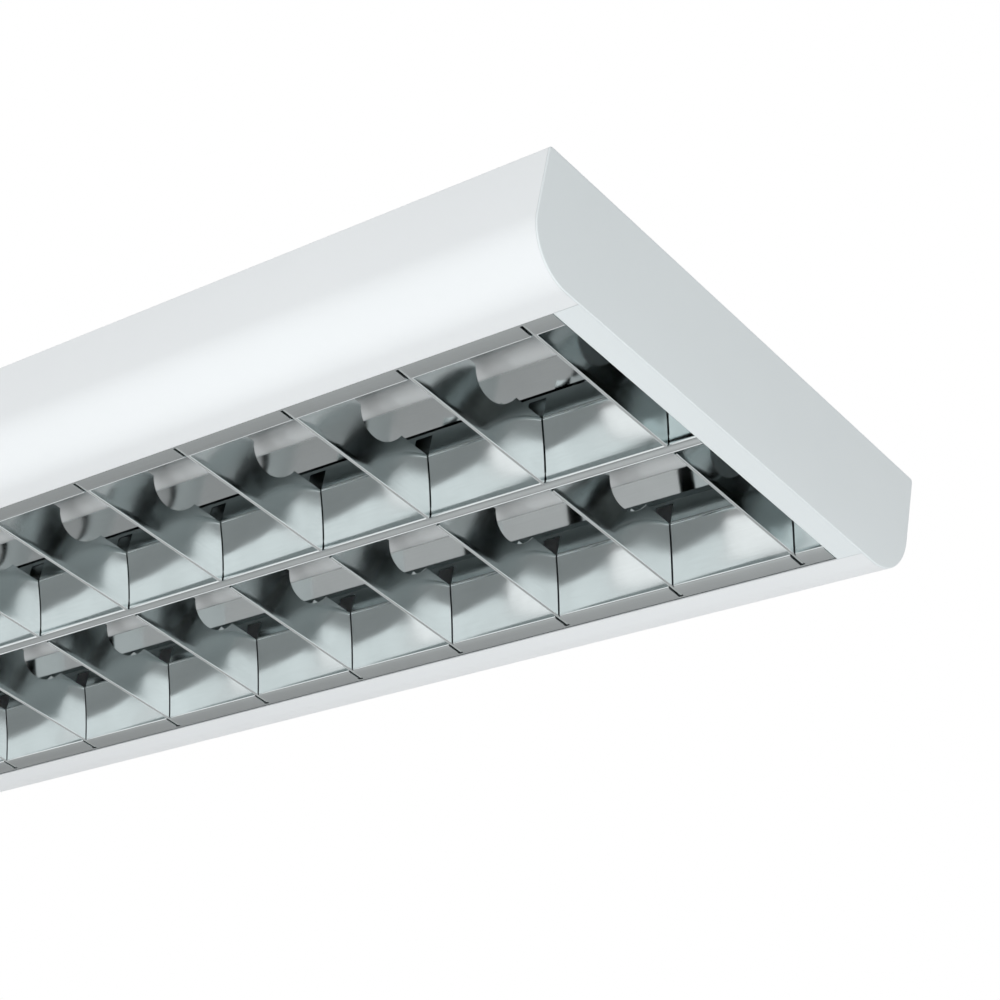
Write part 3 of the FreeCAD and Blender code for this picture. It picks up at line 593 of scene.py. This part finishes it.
HOLDER_PLASTIC = Moulding("holder_plastic", (0.80, 0.81, 0.80))
ROTOR_PLASTIC = Moulding("rotor_plastic", (0.66, 0.68, 0.68), low=0.3, high=0.42)
ZINC = Spangle("zinc_plate", (0.62, 0.64, 0.66))
SPRING = Sheet("spring_steel", (0.56, 0.57, 0.58), low=0.2, high=0.3, waviness=0.2)
PIN_STEEL = Moulding("pin_steel", (0.60, 0.61, 0.62), metallic=1.0, low=0.22, high=0.34)
CONNECTOR = Moulding("connector_plastic", (0.74, 0.75, 0.74))
TERMINAL = Moulding("terminal_plastic", (0.76, 0.76, 0.73), low=0.3, high=0.45)
SCREW = Moulding("screw_steel", (0.55, 0.56, 0.57), metallic=1.0, low=0.25, high=0.4)
NUT = Moulding("plated_nut", (0.62, 0.62, 0.60), metallic=1.0, low=0.25, high=0.4)
RUBBER = Moulding("grommet_rubber", (0.03, 0.03, 0.03), low=0.55, high=0.75, texture=900.0)


# ---------------------------------------------------------------- housing


@dataclass
class Housing:
    """The folded white channel and its two end caps.

    Attributes:
        half_length: From the middle to the outer face of an end cap.
        half_width: From the middle to a side.
        height: From the ceiling face to the bottom.
        steel: Sheet thickness.
        corner: Outer radius of the lower long edges.
        bend: Outer radius of the upper long edges.
        lip: Half width of the opening between the lips.
        end_lip: How far an end cap's lip reaches in.
        joint: Gap between channel and end cap.
        edge_round: Rounding of an end cap's outer edge.
        cap_flange: Width of an end cap's flange under the roof.
        flange_half: Half the length of that flange.
        stud_place: Distance of a stud from the middle.
        stud_hole: Radius of the hole round a stud.
        slots: Place along X and Y, end radius and half the straight run of a fixing slot.
        entry: Place along X and radius of the cable hole.
        bend_steps: Steps round an upper edge.
        corner_steps: Steps round a lower edge.
    """

    half_length: float = 600.0
    half_width: float = 150.0
    height: float = 64.0
    steel: float = 0.8
    corner: float = 27.0
    bend: float = 2.0
    lip: float = 114.0
    end_lip: float = 15.0
    joint: float = 0.1
    edge_round: float = 0.7
    cap_flange: float = 8.5
    flange_half: float = 146.0
    stud_place: float = 100.0
    stud_hole: float = 2.25
    slots: tuple[float, float, float, float] = (400.0, 60.0, 3.0, 3.0)
    entry: tuple[float, float] = (-110.0, 10.0)
    bend_steps: int = 6
    corner_steps: int = 28

    def half_section(self) -> np.ndarray:
        """The channel's outer skin from the roof's bend to the lip's edge, as (y, z) for y > 0.

        Two arcs joined by straight runs: the bend about (width - bend, -bend) and the corner about
        (width - corner, -height + corner).
        """
        roof = arc((self.half_width - self.bend, -self.bend), self.bend, 90, 0, self.bend_steps)
        corner = arc((self.half_width - self.corner, -self.height + self.corner), self.corner, 0, -90,
                     self.corner_steps)
        return np.vstack([roof, corner, [[self.lip, -self.height]]])

    def make_canopy(self) -> Piece:
        """Builds the channel: two swept sides and a roof with its slots and cable hole."""
        reach = self.half_length - self.steel - self.joint
        section = self.half_section()
        points: list[np.ndarray] = []
        faces: list[list[int]] = []
        for sign in (1, -1):
            side = np.stack([np.column_stack([np.full(len(section), x), sign * section[:, 0], section[:, 1]])
                             for x in (-reach * sign, reach * sign)], axis=1).reshape(-1, 3)
            start = sum(len(p) for p in points)
            points.append(side)
            faces += (grid_faces(len(section), 2) + start).tolist()
        start = sum(len(p) for p in points)
        roof, triangles = self.roof(reach)
        points.append(roof)
        faces += [[index + start for index in face] for face in triangles]
        piece = cleaned(new_piece("canopy", np.vstack(points), faces))
        return smoothed(thickened(piece, self.steel), 25.0)

    def roof(self, reach: float) -> Mesh:
        """Triangulates the flat roof round its openings.

        Args:
            reach: Half the channel's length.

        Returns:
            Points on the ceiling face, and faces that point up.
        """
        wide = self.half_width - self.bend
        loops = [np.array([[-reach, -wide], [reach, -wide], [reach, wide], [-reach, wide]])]
        x, y, radius, half = self.slots
        for cx in (-x, x):
            for cy in (-y, y):
                loops.append(np.vstack([arc((cx + half, cy), radius, -90, 90, 8),
                                        arc((cx - half, cy), radius, 90, 270, 8)]))
        loops.append(ring((self.entry[0], 0), self.entry[1], 48))
        return holed_plate(loops, 0.0)

    def cap_outline(self, inset: float) -> np.ndarray:
        """The end cap's outline moved inwards by an even distance, as a closed loop of (y, z)."""
        half = self.half_section()[:-1]
        centre_top = np.array([self.half_width - self.bend, -self.bend])
        centre_low = np.array([self.half_width - self.corner, -self.height + self.corner])
        bend_points = self.bend_steps + 1
        centres = np.vstack([np.tile(centre_top, (bend_points, 1)),
                             np.tile(centre_low, (len(half) - bend_points, 1))])
        away = half - centres
        away /= np.linalg.norm(away, axis=1)[:, None]
        right = half - away * inset
        left = right[::-1] * (-1, 1)
        return np.vstack([right, left])

    def make_cap(self, sign: int, side: str) -> Piece:
        """Builds an end cap: a plate whose edge is rounded, a lip below and a flange under the roof.

        The rounding's rows sit at inset r (1 - sin a) and depth r (1 - cos a), with a from 90 to 0.
        """
        turn = np.radians(np.linspace(0, 90, 6))
        insets = np.concatenate([self.edge_round * (1 - np.sin(turn)), [0.0]])
        depths = np.concatenate([self.edge_round * (1 - np.cos(turn)), [self.steel]])
        round_count = len(self.cap_outline(0.0))
        rows = [np.column_stack([np.full(round_count, sign * (self.half_length - depth)),
                                 self.cap_outline(inset)]) for inset, depth in zip(insets, depths)]
        count = len(rows)
        points = np.vstack(rows)
        faces = grid_faces(count, round_count, around=True).tolist()
        faces.append(list(range(round_count)))
        faces.append(list(range((count - 1) * round_count, count * round_count)))
        inner = self.half_length - self.steel
        lip = box_shell(sorted((sign * (self.half_length - self.end_lip), sign * (inner + 0.05))),
                        (-self.lip + 0.2, self.lip - 0.2), (-self.height, -self.height + self.steel))
        hole_x = sign * (inner - self.cap_flange / 2)
        flange_holes = [ring((hole_x, row * self.stud_place), self.stud_hole, 24) for row in (-1, 1)]
        low, high = sorted((sign * (inner - self.cap_flange), sign * (inner + 0.05)))
        wide = self.flange_half
        flange = [np.array([[low, -wide], [high, -wide], [high, wide], [low, wide]]), *flange_holes]
        plate, triangles = holed_plate(flange, -2 * self.steel)
        start = len(points)
        points = np.vstack([points, lip[0]])
        faces += [[index + start for index in face] for face in lip[1]]
        shell = cleaned(new_piece(f"cap_{side}", points, faces), outwards=True)
        shelf = cleaned(new_piece(f"cap_flange_{side}", plate, triangles), flip=True)
        smoothed(thickened(shelf, self.steel), 25.0)
        return joined(smoothed(shell, 25.0), shelf)

    def build(self) -> None:
        """Builds and dresses the channel and both caps."""
        finished(self.make_canopy(), Body.HOUSING, HOUSING_WHITE, ["housing_canopy"])
        for sign, side in SIDES:
            finished(self.make_cap(sign, side), Body.HOUSING, CAP_WHITE, [f"end_cap_{side}"])


def holed_plate(loops: Sequence[np.ndarray], height: float) -> Mesh:
    """Triangulates a flat outline round its holes.

    Args:
        loops: The outline first, then each hole, as (x, y) points.
        height: The plate's z.

    Returns:
        Points and faces that point up.
    """
    flat = [Vector(point) for loop in loops for point in loop.tolist()]
    edges = []
    start = 0
    for loop in loops:
        count = len(loop)
        edges += [(start + i, start + (i + 1) % count) for i in range(count)]
        start += count
    verts, _, faces, *_ = delaunay_2d_cdt(flat, edges, [], 2, 1e-6)
    points = np.array([[v.x, v.y, height] for v in verts])
    centres = np.array([points[list(face), :2].mean(axis=0) for face in faces])
    inside = np.ones(len(faces), bool)
    for loop in loops[1:]:
        inside &= np.linalg.norm((centres - loop.mean(axis=0)) / np.ptp(loop, axis=0), axis=1) > 0.5
    upright = []
    for face in (faces[i] for i in np.flatnonzero(inside)):
        a, b, c = points[face[0]], points[face[1]], points[face[2]]
        upright.append(list(face) if np.cross(b - a, c - a)[2] > 0 else list(face)[::-1])
    return points, upright


def box_shell(x: Sequence[float], y: Sequence[float], z: Sequence[float]) -> Mesh:
    """The eight corners and six faces of a strip of sheet, to be joined to a larger piece."""
    corners = np.array([[a, b, c] for a in x for b in y for c in z])
    faces = [[0, 1, 3, 2], [4, 6, 7, 5], [0, 4, 5, 1], [2, 3, 7, 6], [0, 2, 6, 4], [1, 5, 7, 3]]
    return corners, faces


def joined(first: Piece, *others: Piece) -> Piece:
    """Joins meshes into the first one.

    Args:
        first: The piece that stays.
        others: The pieces that go into it.

    Returns:
        The first piece.
    """
    with bpy.context.temp_override(active_object=first, object=first, selected_objects=[first, *others],
                                   selected_editable_objects=[first, *others]):
        bpy.ops.object.join()
    return first


# ---------------------------------------------------------------- louvre


@dataclass
class Louvre:
    """The specular louvre: two long side reflectors, the centre V and the cross blades.

    Heights are measured up from the louvre's underside.

    Attributes:
        base: Level of the underside.
        edge: Half width of the louvre.
        fold: Where a side reflector turns up.
        lean: How far a wall leans in.
        bow: How far a wall bulges in its middle.
        depth: Height of the crease.
        rim: Height of the rim.
        rim_return: Width of the rim's return.
        crease_round: Reach of the bend between wall and rim, to each side.
        sheet: Thickness.
        centre_fold: Radius of the centre fold.
        reach: Half the length between the end plates.
        first_blade: Distance of the outermost blade from the middle.
        blades: Number of cross blades.
        nose: Half width and height of a blade's rounded nose.
        blade_top: Half width of a blade's top.
        blade_bow: How far a blade's face is hollowed.
        gap: Gap round a blade in its window.
        band: Height of the rim's band above the windows.
        lamp_y: Distance of a lamp from the middle.
        notch: Radius of a blade's notch for a lamp.
        notch_level: Height of that notch's centre.
        tab: Half width over the blades' tabs.
        tab_height: Height of a tab.
        overhang: How far a blade's end reaches past the fold.
        fold_clear: Where a blade starts above the centre fold.
        fold_taper: How far a blade's inner edge draws back over that height.
        inner_stations: Columns of a blade between the fold and the notch.
        outer_stations: Columns of a blade beyond the notch.
    """

    base: float = -62.8
    edge: float = 113.2
    fold: float = 103.2
    lean: float = 14.0
    bow: float = 1.2
    depth: float = 29.0
    rim: float = 43.0
    rim_return: float = 2.0
    crease_round: float = 1.2
    sheet: float = 0.5
    centre_fold: float = 3.0
    reach: float = 583.7
    first_blade: float = 565.5
    blades: int = 16
    nose: float = 1.0
    blade_top: float = 5.0
    blade_bow: float = 0.6
    gap: float = 0.6
    band: float = 1.6
    lamp_y: float = 53.1
    notch: float = 17.0
    notch_level: float = 36.0
    tab: float = 111.6
    tab_height: float = 4.0
    overhang: float = 2.7
    fold_clear: float = 6.6
    fold_taper: float = 1.6
    inner_stations: tuple[float, ...] = (9.0, 18.0, 28.0)
    outer_stations: tuple[float, ...] = (76.0, 84.0, 90.0)

    @property
    def blade_places(self) -> np.ndarray:
        """Where the blades stand along X."""
        return np.linspace(-self.first_blade, self.first_blade, self.blades)

    def blade_half(self, level: np.ndarray) -> np.ndarray:
        """Half thickness of a blade at a height.

        A quarter ellipse up to the nose's height, then a line from nose to top, hollowed by
        4 * bow * t * (1 - t).
        """
        level = np.asarray(level, float)
        low = np.clip(level / self.nose, 0, 1)
        t = np.clip((level - self.nose) / (self.depth - self.nose), 0, 1)
        face = self.nose + (self.blade_top - self.nose) * t - 4 * self.blade_bow * t * (1 - t)
        return np.where(level < self.nose, self.nose * np.sqrt(1 - (1 - low) ** 2), face)

    def window_half(self, level: np.ndarray) -> np.ndarray:
        """Half width of a blade's window: the blade and a gap, never narrower than the nose."""
        return self.blade_half(np.maximum(level, self.nose)) + self.gap

    def side_profile(self) -> np.ndarray:
        """A side reflector's cell face from the flange's edge to the rim's return, as (y, level).

        The wall is the line from fold to crease, pushed out by 4 * bow * t * (1 - t).
        """
        corner = arc((self.fold + 1.0, 1.0), 1.0, -90, -180, 4)
        t = np.linspace(0, 1, 15)[1:]
        wall = np.column_stack([self.fold - self.lean * t + 4 * self.bow * t * (1 - t),
                                1.0 + (self.depth - 1.0) * t])
        top = self.fold - self.lean
        wall = self.creased(wall, top)
        return np.vstack([[[self.edge, 0.0], [self.tab + self.gap, 0.0]], corner, wall,
                          [[top, self.rim - self.band], [top, self.rim], [top + self.rim_return, self.rim]]])

    def creased(self, wall: np.ndarray, top: float) -> np.ndarray:
        """Rounds the bend between wall and rim: a quadratic curve whose handle is the crease.

        point = (1 - t)^2 * below + 2 t (1 - t) * crease + t^2 * above.

        Args:
            wall: Rows of (y, level) that end at the crease.
            top: The rim's y.

        Returns:
            The rows with the last one replaced by the curve.
        """
        crease = wall[-1]
        below = crease + (wall[-2] - crease) * (self.crease_round / np.linalg.norm(wall[-2] - crease))
        above = np.array([top, crease[1] + self.crease_round])
        t = np.linspace(0, 1, 6)[:, None]
        curve = (1 - t) ** 2 * below + 2 * t * (1 - t) * crease + t ** 2 * above
        return np.vstack([wall[:-1], curve])

    def centre_profile(self) -> np.ndarray:
        """Half of the centre reflector's cell face, from the fold's bottom to the rim's return."""
        bottom = arc((0.0, self.centre_fold), self.centre_fold, -90, 0, 5)
        t = np.linspace(0, 1, 15)[1:]
        level = self.centre_fold + (self.depth - self.centre_fold) * t
        wall = np.column_stack([self.centre_fold + self.lean * t - 4 * self.bow * t * (1 - t), level])
        foot = np.array([[np.interp(2 * self.centre_fold, level, wall[:, 0]), 2 * self.centre_fold]])
        wall = np.vstack([wall, foot])
        wall = wall[np.argsort(wall[:, 1])]
        top = self.centre_fold + self.lean
        wall = self.creased(wall, top)
        return np.vstack([bottom, wall, [[top, self.rim - self.band], [top, self.rim],
                                         [top - self.rim_return, self.rim]]])

    def windowed(self, name: str, profile: np.ndarray, cut: np.ndarray, flip: bool) -> Piece:
        """Carries a profile along the louvre and leaves a window at each blade.

        Args:
            name: The piece's name.
            profile: Rows of (y, level).
            cut: Which gaps between rows the windows cross, as booleans.
            flip: Whether the faces are turned round.

        Returns:
            The sheet, with its thickness.
        """
        half = self.window_half(profile[:, 1])
        places = self.blade_places
        edges = np.stack([places[None, :] - half[:, None], places[None, :] + half[:, None]], axis=-1)
        ends = np.full((len(profile), 1), self.reach)
        x = np.hstack([-ends, edges.reshape(len(profile), -1), ends])
        y = np.repeat(profile[:, :1], x.shape[1], axis=1)
        z = np.repeat(self.base + profile[:, 1:], x.shape[1], axis=1)
        keep = np.ones((len(profile) - 1, x.shape[1] - 1), bool)
        keep[np.ix_(cut, np.arange(keep.shape[1]) % 2 == 1)] = False
        points = np.stack([x, y, z], axis=-1).reshape(-1, 3)
        piece = cleaned(new_piece(name, points, grid_faces(*x.shape, keep).tolist()), flip=flip)
        return smoothed(thickened(piece, self.sheet), 25.0)

    def make_side(self, sign: int, side: str) -> Piece:
        """Builds a side reflector. Its windows cross all but the flange's edge and the rim."""
        profile = self.side_profile() * (sign, 1)
        rows = np.arange(len(profile) - 1)
        cut = (rows >= 1) & (rows < len(profile) - 3)
        return self.windowed(f"side_mirror_{side}", profile, cut, flip=sign > 0)

    def make_centre(self) -> Piece:
        """Builds the centre reflector. Its windows start above the fold."""
        half = self.centre_profile()
        profile = np.vstack([half[::-1] * (-1, 1), half[1:]])
        low = np.minimum(profile[:-1, 1], profile[1:, 1])
        high = np.maximum(profile[:-1, 1], profile[1:, 1])
        cut = (low >= 2 * self.centre_fold - 1e-6) & (high <= self.rim - self.band + 1e-6)
        return self.windowed("centre_mirror", profile, cut, flip=False)

    def blade_columns(self) -> np.ndarray:
        """Fixed stations across half a blade, close together where the lamp's notch curves."""
        span = np.sqrt(self.notch ** 2 - (self.notch_level - self.depth) ** 2)
        notch = self.lamp_y + span * np.sin(np.radians(np.linspace(-90, 90, 25)))
        return np.concatenate([self.inner_stations, notch, self.outer_stations])

    def blade_grid(self) -> tuple[np.ndarray, np.ndarray]:
        """The outer skin of a blade that stands at X = 0.

        Rows run up one face of the V from the nose. A point's height is fixed in the foot, and above
        it goes from the fold's clearance to the top edge, which dips by the notch's circle:
        level - sqrt(radius^2 - (y - lamp)^2).

        Returns:
            Points of shape (rows, columns, 3) for the +X face, and which quads exist.
        """
        turn = np.radians(np.linspace(0, 90, 6))
        foot = np.concatenate([self.nose * (1 - np.cos(turn)), [self.tab_height, self.fold_clear]])
        rise = np.linspace(0, 1, 10)[1:]
        stations = self.blade_columns()
        reach = np.clip(self.notch ** 2 - (stations - self.lamp_y) ** 2, 0, None)
        top = np.minimum(self.depth, self.notch_level - np.sqrt(reach))
        top = np.concatenate([[self.depth], top, [self.depth, self.depth]])
        high = self.fold_clear + rise[:, None] * (top[None, :] - self.fold_clear)
        level = np.vstack([np.repeat(foot[:, None], len(top), axis=1), high])
        inner = self.centre_fold + self.gap + self.fold_taper * np.clip(level[:, 0] / self.fold_clear, 0, 1)
        lean = self.lean / (self.depth + 1.0 - self.tab_height)
        outer = self.fold + self.overhang - lean * np.clip(level[:, -2] - self.tab_height, 0, None)
        y = np.hstack([inner[:, None], np.repeat(stations[None, :], len(level), axis=0),
                       outer[:, None], np.full((len(level), 1), self.tab)])
        points = np.stack([self.blade_half(level), y, self.base + level], axis=-1)
        keep = np.ones((len(level) - 1, y.shape[1] - 1), bool)
        keep[len(turn):, -1] = False
        return points, keep

    def make_blade(self, number: int, place: float) -> Piece:
        """Builds one cross blade from four copies of its quarter and the bridge over the fold.

        Args:
            number: Counted from the left.
            place: Where it stands along X.

        Returns:
            The blade, with its thickness.
        """
        quarter, keep = self.blade_grid()
        rows, columns = quarter.shape[:2]
        quads = grid_faces(rows, columns, keep)
        clear = np.flatnonzero(np.isclose(quarter[:, 0, 2] - self.base, self.fold_clear))[0]
        bridge_rows = np.arange(clear, rows - 1)
        points, faces = [], []
        size = rows * columns
        for copy, (sx, sy) in enumerate(((1, 1), (-1, 1), (-1, -1), (1, -1))):
            points.append((quarter * (sx, sy, 1)).reshape(-1, 3))
            turned = quads if sx * sy > 0 else quads[:, ::-1]
            faces.append(turned + copy * size)
        for front, back in ((0, 3 * size), (2 * size, size)):
            low = bridge_rows * columns
            high = low + columns
            faces.append(np.stack([back + low, front + low, front + high, back + high], axis=-1))
        skin = np.vstack(points) + (place, 0, 0)
        piece = cleaned(new_piece(f"blade_{number:02d}", skin, np.vstack(faces).tolist()))
        return smoothed(thickened(piece, self.sheet), 30.0)

    def build(self) -> None:
        """Builds and dresses the louvre's sheets."""
        for sign, side in ROWS:
            finished(self.make_side(sign, side), Body.LOUVRE, MIRROR_LONG,
                     [f"side_reflector_{side}"])
        finished(self.make_centre(), Body.LOUVRE, MIRROR_LONG, ["centre_reflector"])
        for number, place in enumerate(self.blade_places, start=1):
            finished(self.make_blade(number, float(place)), Body.LOUVRE, MIRROR_CROSS,
                     [f"cross_blade_{number:02d}"])


# ---------------------------------------------------------------- lamps


@dataclass
class Lamp:
    """A tubular lamp with its metal caps.

    Attributes:
        sign: Which row it is in.
        side: The row's name.
        offset: Distance from the middle.
        level: Height of its axis.
        radius: Of the tube.
        half: From the middle to the end of a cap.
        cap: Length of a cap.
    """

    sign: int
    side: str
    offset: float = 53.1
    level: float = -19.6
    radius: float = 8.0
    half: float = 574.5
    cap: float = 8.0

    def make_tube(self) -> Piece:
        """Turns the glass: a plain tube whose ends draw in under the caps."""
        end = self.half - self.cap
        neck = np.array([[end, 0.0], [end, 7.2], [end - 1.0, 7.5], [end - 3.0, 7.85],
                         [end - 6.0, self.radius]])
        profile = np.vstack([neck, neck[::-1] * (-1, 1)])
        points, faces = revolved(profile, (self.sign * self.offset, self.level))
        piece = cleaned(new_piece(f"tube_{self.side}", points, faces.tolist()), outwards=True)
        return smoothed(piece, 40.0)

    def make_caps(self) -> Piece:
        """Turns both metal caps: a rolled edge at the glass, a crimped groove and a rounded end."""
        rim = self.radius
        end = self.half
        profile = np.array([[end - 8.0, 0.0], [end - 8.0, rim - 0.3], [end - 7.7, rim], [end - 6.6, rim],
                            [end - 6.3, rim - 0.25], [end - 5.9, rim - 0.25], [end - 5.6, rim],
                            [end - 0.8, rim], [end - 0.25, rim - 0.25], [end, rim - 0.8],
                            [end, 5.2], [end - 0.3, 5.0], [end - 0.3, 0.0]])
        centre = (self.sign * self.offset, self.level)
        halves = [revolved(profile * (end_sign, 1), centre) for end_sign in (1, -1)]
        faces = np.vstack([halves[0][1], halves[1][1] + len(halves[0][0])])
        points = np.vstack([halves[0][0], halves[1][0]])
        piece = cleaned(new_piece(f"caps_{self.side}", points, faces.tolist()), outwards=True)
        return smoothed(piece, 40.0)

    def build(self) -> None:
        """Builds and dresses the tube and its caps."""
        body = Body.LAMP_REAR if self.sign > 0 else Body.LAMP_FRONT
        # The tube's grey colour is painted shade.
        finished(self.make_tube(), body, SHADED_LAMP_GLASS, [f"lamp_{self.side}_tube"])
        finished(self.make_caps(), body, LAMP_CAP, [f"lamp_{self.side}_caps"])


# ---------------------------------------------------------------- carried-over pieces

NODE_FINISHES: dict[str, Finish] = {
    "holder_bracket": ZINC,
    "hinge_bracket": ZINC,
    "catch_bracket": ZINC,
    "spring_clip": SPRING,
    "lampholder": HOLDER_PLASTIC,
    "rotor": ROTOR_PLASTIC,
    "reflector_tray": TRAY_SHEET,
    "ballast_case": BALLAST_WHITE,
    "ballast_connectors": CONNECTOR,
    "terminal_block": TERMINAL,
    "terminal_screws": SCREW,
    "cable_grommet": RUBBER,
    "weld_studs": PIN_STEEL,
    "hex_nuts": NUT,
    "end_reflector": MIRROR_CROSS,
    "hinge_pins": PIN_STEEL,
    "catch_pins": PIN_STEEL,
    "lamp_front_pins": BRASS,
    "lamp_rear_pins": BRASS,
}


def dress_nodes() -> None:
    """Gives each CAD node that still shows the finish of its kind."""
    for name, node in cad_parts.items():
        if node.hide_render:
            continue
        finish = next((value for key, value in NODE_FINISHES.items() if name.startswith(key)), None)
        if finish is None:
            raise ValueError(f"{name} has no finish")
        node.data.materials.clear()
        node.data.materials.append(finish.material())
        log.info("%s keeps its CAD shape", name)


# ---------------------------------------------------------------- studio


@dataclass
class Studio:
    """A pale floor far below the ceiling, soft lamps and the photograph's camera.

    Attributes:
        floor_level: Height of the floor, in metres.
        floor_half: Half the floor's width, in metres.
        position: The camera's place, in metres.
        attitude: The camera's turn, as a quaternion w, x, y, z.
        focal: Focal length as a multiple of the picture's width.
    """

    floor_level: float = -2.4
    floor_half: float = 5.0
    position: tuple[float, float, float] = (1.25405, -0.7904, -0.73961)
    attitude: tuple[float, float, float, float] = (0.433847, 0.832063, 0.257996, 0.229969)
    focal: float = 2.63482

    def make_floor(self) -> None:
        """Lays the floor, with a faint unevenness in its colour."""
        half = self.floor_half / METRES
        span = np.linspace(-half, half, 9)
        x, y = np.meshgrid(span, span, indexing="xy")
        points = np.stack([x, y, np.full_like(x, self.floor_level / METRES)], axis=-1).reshape(-1, 3)
        floor = new_piece("studio_floor", points, grid_faces(9, 9).tolist())
        material = bpy.data.materials.new("studio_floor")
        material.use_nodes = True
        canvas = Canvas(material.node_tree)
        shader = canvas.add("BsdfPrincipled")
        output = canvas.add("OutputMaterial")
        tone = canvas.add("CombineColor")
        value = canvas.spread(canvas.noise(canvas.coordinates(), 1.5), 0.3, 0.7, 0.76, 0.8)
        for channel in range(3):
            canvas.join(value, tone.inputs[channel])
        canvas.join(tone.outputs[0], shader.inputs["Base Color"])
        shader.inputs["Roughness"].default_value = 0.7
        canvas.join(shader.outputs["BSDF"], output.inputs["Surface"])
        floor.data.materials.append(material)

    def make_world(self, ambient: float = 0.3) -> None:
        """Fills the world with white for camera, glossy and transmitted rays and a dimmer light else.

        Args:
            ambient: Strength that diffuse surfaces receive.
        """
        world = bpy.data.worlds.new("studio")
        bpy.context.scene.world = world
        world.use_nodes = True
        canvas = Canvas(world.node_tree)
        path = canvas.add("LightPath")
        seen = canvas.sum(canvas.sum(path.outputs["Is Camera Ray"], path.outputs["Is Glossy Ray"], "MAXIMUM"),
                          path.outputs["Is Transmission Ray"], "MAXIMUM")
        back = canvas.add("Background")
        canvas.join(canvas.spread(seen, 0, 1, ambient, 1.0), back.inputs["Strength"])
        output = canvas.add("OutputWorld")
        canvas.join(back.outputs[0], output.inputs["Surface"])
        back.inputs["Color"].default_value = (1.0, 1.0, 1.0, 1.0)

    def make_light(self, name: str, place: Sequence[float], aim: Sequence[float], size: Sequence[float],
                   power: float) -> None:
        """Hangs a soft rectangular lamp.

        Args:
            name: Its name.
            place: Where it hangs, in metres.
            aim: What it points at, in metres.
            size: Its width and height, in metres.
            power: In watts.
        """
        data = bpy.data.lights.new(name, "AREA")
        data.shape = "RECTANGLE"
        data.size, data.size_y = size
        data.energy = power
        light = bpy.data.objects.new(name, data)
        light.location = place
        light.visible_glossy = False
        way = Vector(aim) - Vector(place)
        light.rotation_mode = "QUATERNION"
        light.rotation_quaternion = way.to_track_quat("-Z", "Y")
        bpy.context.scene.collection.objects.link(light)

    def make_camera(self) -> None:
        """Sets the camera at the photograph's viewpoint."""
        data = bpy.data.cameras.new("photo_camera")
        data.sensor_width = 36.0
        data.lens = self.focal * data.sensor_width
        data.clip_start, data.clip_end = 0.05, 50.0
        camera = bpy.data.objects.new("photo_camera", data)
        camera.location = self.position
        camera.rotation_mode = "QUATERNION"
        camera.rotation_quaternion = Quaternion(self.attitude)
        bpy.context.scene.collection.objects.link(camera)
        bpy.context.scene.camera = camera

    def build(self) -> None:
        """Sets up the whole studio."""
        self.make_floor()
        self.make_world()
        middle = (0.3, 0.0, -0.03)
        self.make_light("key_light", (0.6, -2.6, -0.4), middle, (2.2, 1.4), 42.0)
        self.make_light("end_light", (2.9, 0.5, -1.0), middle, (1.4, 1.2), 28.0)
        self.make_light("low_light", (0.3, -0.3, -2.0), middle, (1.6, 1.2), 15.0)
        self.make_light("back_light", (-0.8, 1.6, 2.2), middle, (2.2, 1.6), 60.0)
        self.make_camera()
        bpy.context.scene.view_settings.view_transform = "Standard"


def main() -> None:
    """Builds the light's pieces in the order in which they are assembled, then the studio."""
    logging.basicConfig(level=logging.INFO, format="%(name)s: %(message)s")
    Housing().build()
    Louvre().build()
    for sign, side in ROWS:
        Lamp(sign, side).build()
    dress_nodes()
    Studio().build()


if __name__ == "__main__":
    main()
